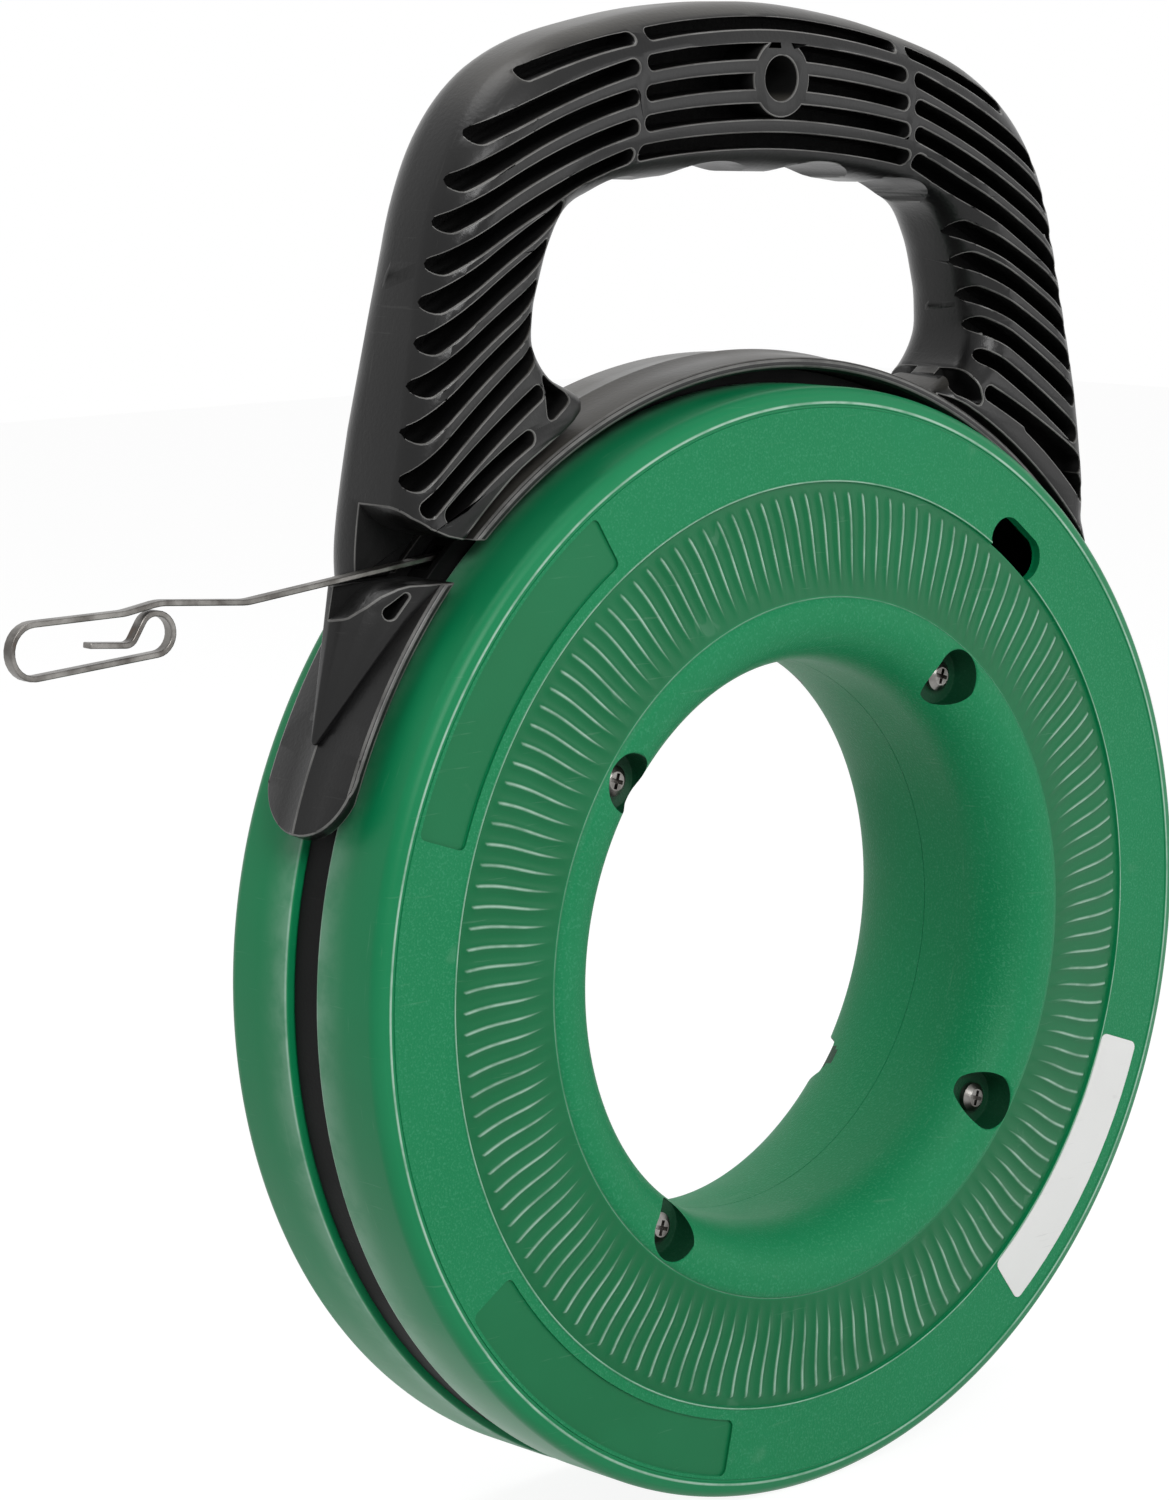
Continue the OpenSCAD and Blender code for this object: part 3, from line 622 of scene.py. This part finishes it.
def windowCutter(s, side):
    bm = bmesh.new()
    run = (s["windowLength"] - s["windowWidth"]) / 2
    bmesh.ops.create_circle(bm, cap_ends=True, segments=40, radius=s["windowWidth"] / 2 * mm,
                            matrix=Matrix.Rotation(math.radians(90), 4, "X"))
    for v in bm.verts:
        v.co.x += run * mm * (1 if v.co.x > 1e-6 else -1)
    bmesh.ops.translate(bm, vec=(0, side * s["windowFrom"] * mm, s["windowRadius"] * mm), verts=bm.verts)
    bmesh.ops.rotate(bm, cent=(0, 0, 0), matrix=turnMatrix(s["windowTurn"]), verts=bm.verts)
    blockFromFace(bm, s["windowDepth"], side)
    return bm


def makeShell(name, side, s, green):
    bm = bmesh.new()
    spinOutline(bm, shellOutline(s, side), side, s["steps"])
    turns = [turnMatrix(s["pocketTurn"] + 360 // s["pockets"] * k) for k in range(s["pockets"])]
    cutters = []
    for turn in turns:
        cutter = roundCutter(s["pocketRadius"], s["pocketFloor"], s["crestHeight"], side,
                             (0, 0, s["pocketCircle"] * mm), s["pocketFlare"])
        bmesh.ops.rotate(cutter, cent=(0, 0, 0), matrix=turn, verts=cutter.verts)
        cutters.append(scratchObject("pocketCutter", cutter))
    if side < 0:
        cutters += [scratchObject("panelCutter", panelCutter(s, ends, side)) for ends in s["panels"]]
        cutters.append(scratchObject("windowCutter", windowCutter(s, side)))
    bm = cutWith(bm, cutters)
    piece = finishPiece(name, bm, green, "case", "front_shell" if side < 0 else "rear_shell", 32)
    mesh = piece.data
    # Rubbed ridge lines with a painted edge highlight
    layer = mesh.attributes.new("edge", "FLOAT", "POINT")
    layer.data.foreach_set("value", [ridgeAt(s, v.co) for v in mesh.vertices])
    # Faces on the pocket floors are marked for painted shade
    centres = [turn @ Vector((0, 0, s["pocketCircle"] * mm)) for turn in turns]
    layer = mesh.attributes.new("deep", "FLOAT", "FACE")
    layer.data.foreach_set("value", [max(inPocket(s, mesh, face, centre) for centre in centres)
                                     for face in mesh.polygons])


def inPocket(s, mesh, face, centre):
    reach = (s["pocketRadius"] + 0.05) * mm
    corners = [mesh.vertices[i].co - centre for i in face.vertices]
    return 1.0 if all(math.hypot(corner.x, corner.z) < reach for corner in corners) else 0.0


def ridgeAt(s, place):
    r, h, reach = math.hypot(place.x, place.z) / mm, abs(place.y) / mm, s["ridgeReach"]
    return max([share for radius, height, share in s["ridges"]
                if abs(r - radius) < reach and abs(h - height) < reach], default=0.0)


def fluteSway(share):
    # How far a flute leans round the axis at a share of the way out, in pitches: a drawn-out S
    return -0.75 * (1 - share) - 0.085 * math.sin(math.tau * (1 - share))


def makeFluteBand(name, side, s, green):
    # The band's skin: its mesh lines follow the flutes, so each crest lies on a line of vertices
    bm = bmesh.new()
    inner, outer, count = s["bandIn"] + 0.1, s["bandOut"] - 0.15, s["fluteSteps"]
    lines, section = s["fluteLines"], s["fluteSection"]
    pitch = math.tau / s["flutes"]
    verts = []
    for i in range(count + 1):
        turn = fluteSway(i / count) * pitch
        r = (inner + (outer - inner) * i / count) * mm
        verts.append(bm.verts.new((r * math.cos(turn), 0, r * math.sin(turn))))
    edges = [bm.edges.new((verts[i], verts[i + 1])) for i in range(count)]
    bmesh.ops.spin(bm, geom=verts + edges, cent=(0, 0, 0), axis=(0, 1, 0), angle=math.tau,
                   steps=s["flutes"] * lines, use_merge=True)
    bmesh.ops.remove_doubles(bm, verts=bm.verts, dist=1e-6)
    rubbedAndHighlit = bm.verts.layers.float.new("edge")
    for v in bm.verts:
        r = math.hypot(v.co.x, v.co.z) / mm
        share = (r - inner) / (outer - inner)
        line = (math.atan2(v.co.z, v.co.x) / pitch - fluteSway(share)) * lines
        crest = section[round(line) % lines]
        ends = min(1.0, max(0.0, (share - 0.03) / 0.35)) ** 0.8 * min(1.0, max(0.0, (0.93 - share) / 0.035))
        floor = s["bandInHeight"] + (s["bandOutHeight"] - s["bandInHeight"]) * share - s["rise"]
        v.co.y = side * (floor + s["rise"] * crest * ends) * mm
        # Each crest gets a rubbed line with a painted highlight
        v[rubbedAndHighlit] = 0.85 * crest ** 4 * ends
    finishPiece(name, bm, green, "case", None, 75)


gripSizes = {
    # outer x and z, inner x and z, from the top of the grip to the foot
    "stations": ((0, 254.5, 0, 209.3), (30.2, 252.3, 24, 208.5), (56.2, 247.4, 45.7, 206.4),
                 (77, 241.2, 61.7, 202.9), (93.3, 231.7, 71.5, 197.4), (105.4, 218.1, 77.3, 187.7),
                 (113.6, 200.5, 80, 178.4), (118.8, 179.8, 81.7, 170), (122.6, 160.7, 81.9, 162.7),
                 (125.5, 144.9, 77, 154.5), (128.1, 130, 66, 146), (129.8, 116, 88, 132),
                 (129.5, 106, 106, 117.5), (128, 97, 121, 102)),
    "leanAngle": 2.6, "leanShift": 2.34, "leanFrom": 125.0, "leanRun": 110.0,  # the grip leans to the right
    "footLift": (3.4, -1.5), "liftFrom": 5.5, "liftRun": 3.5,  # the left foot sits higher than the right one
    "half": 18.0, "rounds": (14.0, 10.5), "roundFrom": 6.5, "roundRun": 2.5, "around": 56, "between": 6,
    "slotFloor": 4.5, "slotHeight": 30.0, "rowWidth": 4.1, "legWidth": 4.8, "lastRowShare": 0.8,
    "rowFlare": 1.12, "legFlare": 0.9,  # how wide a row ends and how narrow a leg's slot starts
    "rowShares": (0.186, 0.356, 0.531, 0.706, 0.871), "rowBars": (2.21, 2.06, 1.96, 1.86, 1.74),
    "rowEnds": (6.65, 6.15, 5.6, 4.9, 3.66), "rowBows": (2.2, 2.4, 2.2, 1.4, 0.9), "barHalf": 0.15,
    # each leg's slots: where they start and end, as stations and shares, and how far they bow outwards
    "leftStarts": ((4.32, 0.15), (5.2, 0.15), (6.2, 0.15), (7.05, 0.14), (8.1, 0.14), (9.1, 0.21),
                   (9.95, 0.38)),
    "leftEnds": ((7.12, 0.925), (7.65, 0.925), (8.25, 0.935), (8.97, 0.945), (9.75, 0.95), (10.3, 0.88),
                 (10.7, 0.7)),
    "rightStarts": ((4.6, 0.06), (5.5, 0.06), (6.5, 0.06), (7.5, 0.06), (8.55, 0.09), (9.5, 0.25),
                    (10.05, 0.56)),
    "rightEnds": ((7.35, 0.87), (7.88, 0.87), (8.5, 0.87), (9.22, 0.87), (10.0, 0.87), (10.65, 0.87),
                  (11.35, 0.87)),
    "rightRowEnds": (6.9, 6.4, 5.85, 5.15, 3.85), "rightShare": 0.87, "leftShare": 0.925, "legBow": 0.8,
    "rearShare": 0.78,
    "leftFootHole": ((-76.3, 152.9), (-82.6, 157), (-81.4, 149)),
    "rightFootHole": ((73, 147.5), (77, 151.5), (79.5, 144.5)), "footHoleRound": 1.6,
    "keelHole": ((-129.8, 102.1), (-126.2, 106.0)), "keelHoleWidths": (3.6, 1.8),
    "saddleIn": 156.5, "saddleOut": 159.9, "saddleRidge": 1.4, "saddleHalf": 17.0,
    "footTurn": 51.0, "shoeTurn": -67.1, "rimRoom": 157.5, "rimGroove": 161.2, "grooveFrom": 12.5,
    "lanyard": 6.0, "lanyardBoss": 10.4, "lanyardShare": 0.55,
    # scoops for the fingers: place along the grip, half length, half depth and how far the centre hangs low
    "fingerScoops": ((-1.38, 15.0, 9.5, 3.5), (-0.5, 16.8, 6.6, 0.0), (0.5, 16.8, 6.6, 0.0),
                     (1.4, 15.5, 9.5, 3.5)), "fingerPitch": 36.5, "fingerDepth": 3.3, "fingerCurve": 0.63,
    "mouthFront": 45.0, "mouthBack": 3.0, "shoeMouthBack": 1.0,
    "through": 30.0, "clear": 40.0,  # half lengths of the rods that cut holes, and of the longer ones
    "mouth": ((-158, 146), (-133.5, 138), (-131.4, 133.4), (-129, 129.6), (-125.8, 126), (-121.5, 123),
              (-116, 120.8), (-110, 119.4), (-94, 118), (-90, 110.5), (-105, 108.8), (-122, 108.9),
              (-158, 108.6)),
    "shoeMouth": ((-88, 112), (-90, 110.4), (-105, 109.7), (-115, 109.7), (-123, 109.4), (-128, 108.3),
                  (-132, 106.3), (-135.5, 103.6), (-138.5, 101.2), (-142, 99.8), (-158, 98), (-158, 112)),
    "keelArch": ((0, -137.8), (4, -136.4), (8, -132.6), (11.5, -127), (14.2, -120), (16.0, -111)),
    "keelTop": 109.0, "keelTip": (-146.2, 0, 70.0), "keelRound": 1.2,
    "belowMouth": ((-170, 109), (-90, 109), (-90, 60), (-170, 60)),  # the shoe takes over from the leg here
    "tongueLength": 60.0, "tongueReach": 160.0,
    "bandBox": (400.0, 40.0, 400.0), "bandBoxAt": (200.0, 0.0, 100.0),  # what is kept of the band's full turn
}


def stationRow(s, i):
    rows = s["stations"]
    if i < 0:
        return [(-1 if k % 2 == 0 else 1) * rows[-i][k] for k in range(4)]
    return rows[min(i, len(rows) - 1)]


def gripPoint(s, t, share):
    # Place on the handle's outline: t along it from the top, share from its inner to its outer edge
    side = -1 if t < 0 else 1
    t = abs(t)
    i = min(int(t), len(s["stations"]) - 2)
    f = t - i
    a, b, c, d = (stationRow(s, i + k) for k in (-1, 0, 1, 2))
    r = [0.5 * (2 * b[k] + (c[k] - a[k]) * f + (2 * a[k] - 5 * b[k] + 4 * c[k] - d[k]) * f * f
                + (3 * b[k] - a[k] - 3 * c[k] + d[k]) * f ** 3) for k in range(4)]
    x, z = side * (r[2] + (r[0] - r[2]) * share), r[3] + (r[1] - r[3]) * share
    # The feet of the legs are raised or lowered at their inner edge
    lift = s["footLift"][0 if side < 0 else 1] * min(1.5, max(0.0, (t - s["liftFrom"]) / s["liftRun"]))
    return leanOver(s, x, z + lift * (1 - share))


def leanOver(s, x, z):
    lean = min(1.0, max(0.0, (z - s["leanFrom"]) / s["leanRun"]))
    return Vector((x + s["leanShift"] * math.sin(math.radians(90 * lean)), 0,
                   z - x * math.sin(math.radians(s["leanAngle"] * lean))))


def gripSection(bm, s, t):
    # One ring across the grip: a circle pushed out to a box with round corners
    inner, outer = gripPoint(s, t, 0), gripPoint(s, t, 1)
    width = (outer - inner).length
    along = (outer - inner) / width
    middle = (inner + outer) / 2
    foot = min(1.0, max(0.0, (abs(t) - s["roundFrom"]) / s["roundRun"]))
    corner = min(s["rounds"][0] + (s["rounds"][1] - s["rounds"][0]) * foot, width * 0.45)
    ring = bmesh.ops.create_circle(bm, cap_ends=False, segments=s["around"], radius=1.0)["verts"]
    for v in ring:
        turn = math.atan2(v.co.y, v.co.x)
        p = math.copysign(width / 2 - corner, math.cos(turn)) + corner * math.cos(turn)
        q = math.copysign(s["half"] - corner, math.sin(turn)) + corner * math.sin(turn)
        v.co = (middle + along * p + Vector((0, q, 0))) * mm
    return ring


def ringEdges(ring):
    # Each edge of the ring once, in the order of its vertices
    members = set(ring)
    return list(dict.fromkeys(e for v in ring for e in v.link_edges if e.other_vert(v) in members))


def makeLoop(s):
    bm = bmesh.new()
    count = (len(s["stations"]) - 1) * s["between"]
    rings = [gripSection(bm, s, i / s["between"]) for i in range(-count, count + 1)]
    edgeLists = [ringEdges(ring) for ring in rings]
    for a, b in zip(edgeLists, edgeLists[1:]):
        bmesh.ops.bridge_loops(bm, edges=a + b)
    for edges in (edgeLists[0], edgeLists[-1]):
        bmesh.ops.contextual_create(bm, geom=edges)
    return bm


def slotOutline(bm, path, widths, level):
    # A flat slot with round ends along a path, as one face
    count = len(path) - 1
    left, right = [], []
    for i, point in enumerate(path):
        ahead = (path[min(i + 1, count)] - path[max(i - 1, 0)]).normalized()
        across = Vector((-ahead.z, 0, ahead.x))
        half = (widths[0] + (widths[1] - widths[0]) * i / count) / 2
        left.append(point + across * half)
        right.append(point - across * half)
        if i in (0, count):
            way = ahead if i == count else -ahead
            cap = [point + (across * math.cos(a) + way * math.sin(a)) * half
                   for a in (math.radians(22.5 * k) for k in range(1, 8))]
            if i == 0:
                startCap = cap
            else:
                endCap = cap
    loop = left + endCap + right[::-1] + startCap[::-1]
    bm.faces.new([bm.verts.new(Vector((p.x, level, p.z)) * mm) for p in loop])


def rowPath(s, a, b, share, count=28):
    # Along the grip, at one share of the way across it
    return [gripPoint(s, a + (b - a) * i / count, share) for i in range(count + 1)]


def legPath(s, a, b, bow, count=10):
    # Straight between two places on the handle, bowed outwards by some millimetres
    first, last = gripPoint(s, *a), gripPoint(s, *b)
    ahead = (last - first).normalized()
    out = Vector((-ahead.z, 0, ahead.x)) * (1 if last.x > first.x else -1)
    return [first + (last - first) * (i / count) + out * (4 * bow * (i / count) * (1 - i / count))
            for i in range(count + 1)]


def makeRowCutter(s, face):
    # Rows over the fingers, which stop short of the ring round the lanyard hole
    bm = bmesh.new()
    for i, share in enumerate(s["rowShares"]):
        width = s["rowWidth"] * (s["lastRowShare"] if i == 4 else 1.0)
        end = s["rowBars"][i] - s["barHalf"]
        slotOutline(bm, rowPath(s, -end, end, share), (width, width), face * s["slotFloor"])
    blockFromFace(bm, s["slotHeight"], face)
    hole = gripPoint(s, 0, s["lanyardShare"])
    reach = s["clear"]
    boss = makeRod((hole.x, -reach, hole.z), (hole.x, reach, hole.z), s["lanyardBoss"], 64)
    return cutWith(bm, [scratchObject("boss", boss)], overlap=True)


def makeLegCutter(s, face):
    # Slots from the bars to the outer edge, then the long ones that cross each leg
    level = face * s["slotFloor"]
    bm = bmesh.new()
    for side, starts, ends, rowEnds, last in (
            (-1, s["leftStarts"], s["leftEnds"], s["rowEnds"], s["leftShare"]),
            (1, s["rightStarts"], s["rightEnds"], s["rightRowEnds"], s["rightShare"])):
        for i, share in enumerate(s["rowShares"]):
            width = s["rowWidth"] * (s["lastRowShare"] if i == 4 else 1.0)
            end = last if face < 0 else s["rearShare"]
            path = legPath(s, (side * (s["rowBars"][i] + s["barHalf"]), share), (side * rowEnds[i], end),
                           s["rowBows"][i])
            slotOutline(bm, path, (width, min(s["legWidth"], width * s["rowFlare"])), level)
        for start, end in zip(starts, ends):
            if face > 0:
                start = (start[0], max(start[1], 1 - s["rearShare"]))
                end = (end[0], min(end[1], s["rearShare"]))
            path = legPath(s, (side * start[0], start[1]), (side * end[0], end[1]), s["legBow"])
            slotOutline(bm, path, (s["legWidth"] * s["legFlare"], s["legWidth"]), level)
    blockFromFace(bm, s["slotHeight"], face)
    return bm


def hullOf(bm):
    # Keeps the points only, then stretches a skin over them
    bmesh.ops.delete(bm, geom=list(bm.edges), context="EDGES_FACES")
    bmesh.ops.convex_hull(bm, input=list(bm.verts))
    loose = [v for v in bm.verts if not v.link_faces]
    bmesh.ops.delete(bm, geom=loose, context="VERTS")
    return bm


def makeFootHole(s, corners, face):
    # Three round corners, joined by a skin
    bm = bmesh.new()
    for x, z in corners:
        place = leanOver(s, x, z)
        post = makeRod((place.x, face * s["slotFloor"], place.z), (place.x, face * s["slotHeight"], place.z),
                       s["footHoleRound"], 16)
        bm = joinMeshes([bm, post])
    return hullOf(bm)


def makeFingerCutter(s, scoop):
    # An oval rod across the underside of the grip
    place, halfLength, halfDepth, low = scoop
    top = gripPoint(s, 0, 0).z
    drop = s["fingerDepth"] * (s["fingerCurve"] * place * place + 1)
    centre = leanOver(s, place * s["fingerPitch"], top - drop - low)
    bm = makeRod((0, -s["through"], 0), (0, s["through"], 0), 1.0, 72)
    bmesh.ops.scale(bm, vec=(halfLength, 1, halfDepth), verts=bm.verts)
    bmesh.ops.translate(bm, vec=centre * mm, verts=bm.verts)
    return bm


def makeSaddle(s):
    # Band over the rim with a faint centre ridge, and a tongue that ends round
    bm = bmesh.new()
    half, low, high, ridge = s["saddleHalf"], s["saddleIn"], s["saddleOut"], s["saddleRidge"]
    section = [(low, -half + 1.2), (low + 0.8, -half), (high - 0.9, -half), (high - 0.1, -half + 0.8),
               (high + 0.2 * ridge, -half * 0.45), (high + 0.5 * ridge, -half * 0.12), (high + ridge, 0),
               (high + 0.5 * ridge, half * 0.12), (high + 0.2 * ridge, half * 0.45),
               (high - 0.1, half - 0.8), (high - 0.9, half), (low + 0.8, half), (low, half - 1.2)]
    verts = [bm.verts.new((0, y * mm, r * mm)) for r, y in section]
    face = bm.faces.new(verts)
    start = s["shoeTurn"] - 7
    bmesh.ops.rotate(bm, cent=(0, 0, 0), matrix=turnMatrix(start), verts=bm.verts)
    bmesh.ops.spin(bm, geom=[face], cent=(0, 0, 0), axis=(0, 1, 0),
                   angle=math.radians(s["footTurn"] - start), steps=150)
    tongue = bmesh.new()
    bmesh.ops.create_cone(tongue, cap_ends=True, segments=64, radius1=half * mm, radius2=half * mm,
                          depth=s["tongueLength"] * mm)
    bmesh.ops.translate(tongue, vec=(0, 0, s["tongueReach"] * mm), verts=tongue.verts)
    bmesh.ops.rotate(tongue, cent=(0, 0, 0), matrix=turnMatrix(s["shoeTurn"]), verts=tongue.verts)
    rest = bmesh.new()
    bmesh.ops.create_cube(rest, size=1.0)
    bmesh.ops.scale(rest, vec=[size * mm for size in s["bandBox"]], verts=rest.verts)
    bmesh.ops.translate(rest, vec=[place * mm for place in s["bandBoxAt"]], verts=rest.verts)
    bmesh.ops.rotate(rest, cent=(0, 0, 0), matrix=turnMatrix(s["shoeTurn"]), verts=rest.verts)
    return cutWith(bm, [scratchObject("tongueShape", joinMeshes([tongue, rest]))], "INTERSECT", True)


def joinMeshes(parts):
    whole = bmesh.new()
    for part in parts:
        mesh = bpy.data.meshes.new("part")
        bmesh.ops.recalc_face_normals(part, faces=part.faces)
        part.to_mesh(mesh)
        part.free()
        whole.from_mesh(mesh)
        bpy.data.meshes.remove(mesh)
    return whole


def makeRod(first, last, radius, segments=48):
    bm = bmesh.new()
    first, last = Vector(first) * mm, Vector(last) * mm
    bmesh.ops.create_cone(bm, cap_ends=True, segments=segments, radius1=radius * mm, radius2=radius * mm,
                          depth=(last - first).length)
    aim = (last - first).to_track_quat("Z", "Y").to_matrix()
    bmesh.ops.rotate(bm, cent=(0, 0, 0), matrix=aim, verts=bm.verts)
    bmesh.ops.translate(bm, vec=(first + last) / 2, verts=bm.verts)
    return bm


def flatOutline(points, level, depth):
    bm = bmesh.new()
    bm.faces.new([bm.verts.new((x * mm, level * mm, z * mm)) for x, z in points])
    blockFromFace(bm, depth, 1)
    return bm


rimSizes = {
    "width": 0.42, "segments": 2, "sharpest": 150.0, "shortest": 9.0,  # millimetres and degrees
    "merge": 0.12, "collapse": 0.05, "leastFace": 0.004,
}


def chainsOf(edges):
    # Groups of edges that touch one another
    waiting, chains = dict.fromkeys(edges), []
    while waiting:
        chain = [waiting.popitem()[0]]
        for edge in chain:
            for near in [e for v in edge.verts for e in v.link_edges]:
                if near in waiting:
                    del waiting[near]
                    chain.append(near)
        chains.append(chain)
    return chains


def softenRims(bm, s, sharpness):
    # Small rounds along every sharp outer edge that the cutters left. Their faces are marked as rubbed, which
    # also paints a highlight on them
    bmesh.ops.remove_doubles(bm, verts=bm.verts, dist=s["merge"] * mm)
    bmesh.ops.dissolve_degenerate(bm, edges=bm.edges, dist=s["collapse"] * mm)
    rubbedAndHighlit = bm.faces.layers.float.new("edge")
    rims = [e for e in bm.edges if len(e.link_faces) == 2 and e.is_convex
            and math.radians(sharpness) < e.calc_face_angle(0) < math.radians(s["sharpest"])
            and min(f.calc_area() for f in e.link_faces) > s["leastFace"] * mm * mm]
    kept = [e for chain in chainsOf(rims) if sum(e.calc_length() for e in chain) > s["shortest"] * mm
            for e in chain]
    rounds = bmesh.ops.bevel(bm, geom=kept, offset=s["width"] * mm, offset_type="OFFSET", affect="EDGES",
                             segments=s["segments"], profile=0.5, material=-1, clamp_overlap=False)
    for face in rounds["faces"]:
        face[rubbedAndHighlit] = 1.0


def markDeep(piece, levels):
    # Marks the floors of the slots and of the mouth for painted shade, as they never see daylight
    layer = piece.data.attributes.new("deep", "FLOAT", "POINT")
    layer.data.foreach_set("value", [max(1.0 if abs(v.co.y / mm - y) < 0.05 else 0.0 for y in levels)
                                     for v in piece.data.vertices])


def rimRoom(s):
    # The room that the rim turns in
    return scratchObject("rimRoom", makeRod((0, -s["clear"], 0), (0, s["clear"], 0), s["rimRoom"], 180))


def makeHandle(s, black):
    loop = makeLoop(s)
    through, clear = s["through"], s["clear"]
    cutters = [("groove", makeRod((0, face * s["grooveFrom"], 0), (0, face * clear, 0), s["rimGroove"], 180))
               for face in (-1, 1)]
    for face in (-1, 1):
        cutters += [("rows", makeRowCutter(s, face)), ("legs", makeLegCutter(s, face)),
                    ("footHole", makeFootHole(s, s["leftFootHole"], face)),
                    ("footHole", makeFootHole(s, s["rightFootHole"], face))]
    cutters += [("finger", makeFingerCutter(s, scoop)) for scoop in s["fingerScoops"]]
    hole = gripPoint(s, 0, s["lanyardShare"])
    cutters.append(("lanyard", makeRod((hole.x, -through, hole.z), (hole.x, through, hole.z), s["lanyard"])))
    cutters.append(("mouth", flatOutline(s["mouth"], s["mouthBack"], -s["mouthFront"])))
    cutters.append(("belowMouth", flatOutline(s["belowMouth"], -clear, 2 * clear)))
    loop = cutWith(loop, [rimRoom(s)] + [scratchObject(*c) for c in cutters], overlap=True)
    softenRims(loop, rimSizes, 40)
    piece = finishPiece("gripHandle", loop, black, "handle", "handle_body", 35)
    markDeep(piece, (-s["slotFloor"], s["slotFloor"], s["mouthBack"]))
    print("grip faces", len(piece.data.polygons))


def makeShoe(s, black):
    band = makeSaddle(s)
    keel = bmesh.new()
    points = [(x, side * y, s["keelTop"]) for y, x in s["keelArch"] for side in (-1, 1)] + [s["keelTip"]]
    for point in points:
        bmesh.ops.create_icosphere(keel, subdivisions=2, radius=s["keelRound"] * mm,
                                   matrix=Matrix.Translation(Vector(point) * mm))
    keel = cutWith(hullOf(keel), [rimRoom(s)])
    whole = cutWith(band, [scratchObject("keel", keel)], "UNION", True)
    cutters = [("mouth", flatOutline(s["mouth"], s["mouthBack"], -s["mouthFront"])),
               ("shoeMouth", flatOutline(s["shoeMouth"], s["shoeMouthBack"], -s["mouthFront"]))]
    for face in (-1, 1):
        hole = bmesh.new()
        slotOutline(hole, [Vector((x, 0, z)) for x, z in s["keelHole"]], s["keelHoleWidths"],
                    face * s["slotFloor"])
        blockFromFace(hole, s["slotHeight"], face)
        cutters.append(("drop", hole))
    whole = cutWith(whole, [scratchObject(*c) for c in cutters], overlap=True)
    softenRims(whole, rimSizes, 35)
    piece = finishPiece("shoeAndSaddle", whole, black, "handle", None, 30)
    markDeep(piece, (-s["slotFloor"], s["slotFloor"], s["mouthBack"], s["shoeMouthBack"]))
    print("shoe faces", len(piece.data.polygons))


def copyNode(node, name, material, body, bevel):
    # A piece with the CAD node's own shape and softened edges
    bm = bmesh.new()
    bm.from_mesh(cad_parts[node].data)
    bmesh.ops.remove_doubles(bm, verts=bm.verts, dist=1e-6)
    bmesh.ops.dissolve_limit(bm, angle_limit=math.radians(0.5), verts=bm.verts, edges=bm.edges)
    piece = finishPiece(name, bm, material, body, node, 30)
    step = piece.modifiers.new("softEdge", "BEVEL")
    step.width = bevel * mm
    step.segments = 2
    step.limit_method = "ANGLE"
    step.angle_limit = math.radians(40)


def main():
    print("view and light")
    makeView(viewSizes)
    makeSky(viewSizes["skyLight"])
    makeFloor(viewSizes)
    groups = {"grain": makeGrainGroup(), "wearAndHighlight": makeWearGroup(), "scuff": makeScuffGroup(),
              "zones": makeZoneGroup()}
    green = makeGreenPlastic(groups, greenFinish)
    black = makeBlackPlastic(groups, gripFinish, "gripBlackPlastic")
    ringBlack = makeBlackPlastic(groups, ringFinish, "ringBlackPlastic")
    tapeSteel = makeSteel(groups, steelFinish, "oiledTapeSteel", 0.55, 0.32)
    screwSteel = makeSteel(groups, steelFinish, "screwSteel", 0.35, 0.30)
    film = makeLabelFilm(groups, labelFinish)
    print("shells")
    for name, side in (("frontShell", -1), ("rearShell", 1)):
        makeShell(name, side, caseSizes, green)
        makeFluteBand(name + "Flutes", side, caseSizes, green)
    print("handle")
    makeHandle(gripSizes, black)
    makeShoe(gripSizes, black)
    print("tape, ring, screws and label")
    copyNode("tape_leader", "leaderTape", tapeSteel, "tape", 0.3)
    copyNode("guide_ring", "guideRing", ringBlack, "handle", 0.3)
    finishes = {"face_label": film, "tape_coil": tapeSteel}
    finishes.update({"hub_screw_" + str(k): screwSteel for k in range(1, 5)})
    for node, material in finishes.items():
        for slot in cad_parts[node].material_slots:
            slot.material = material


main()
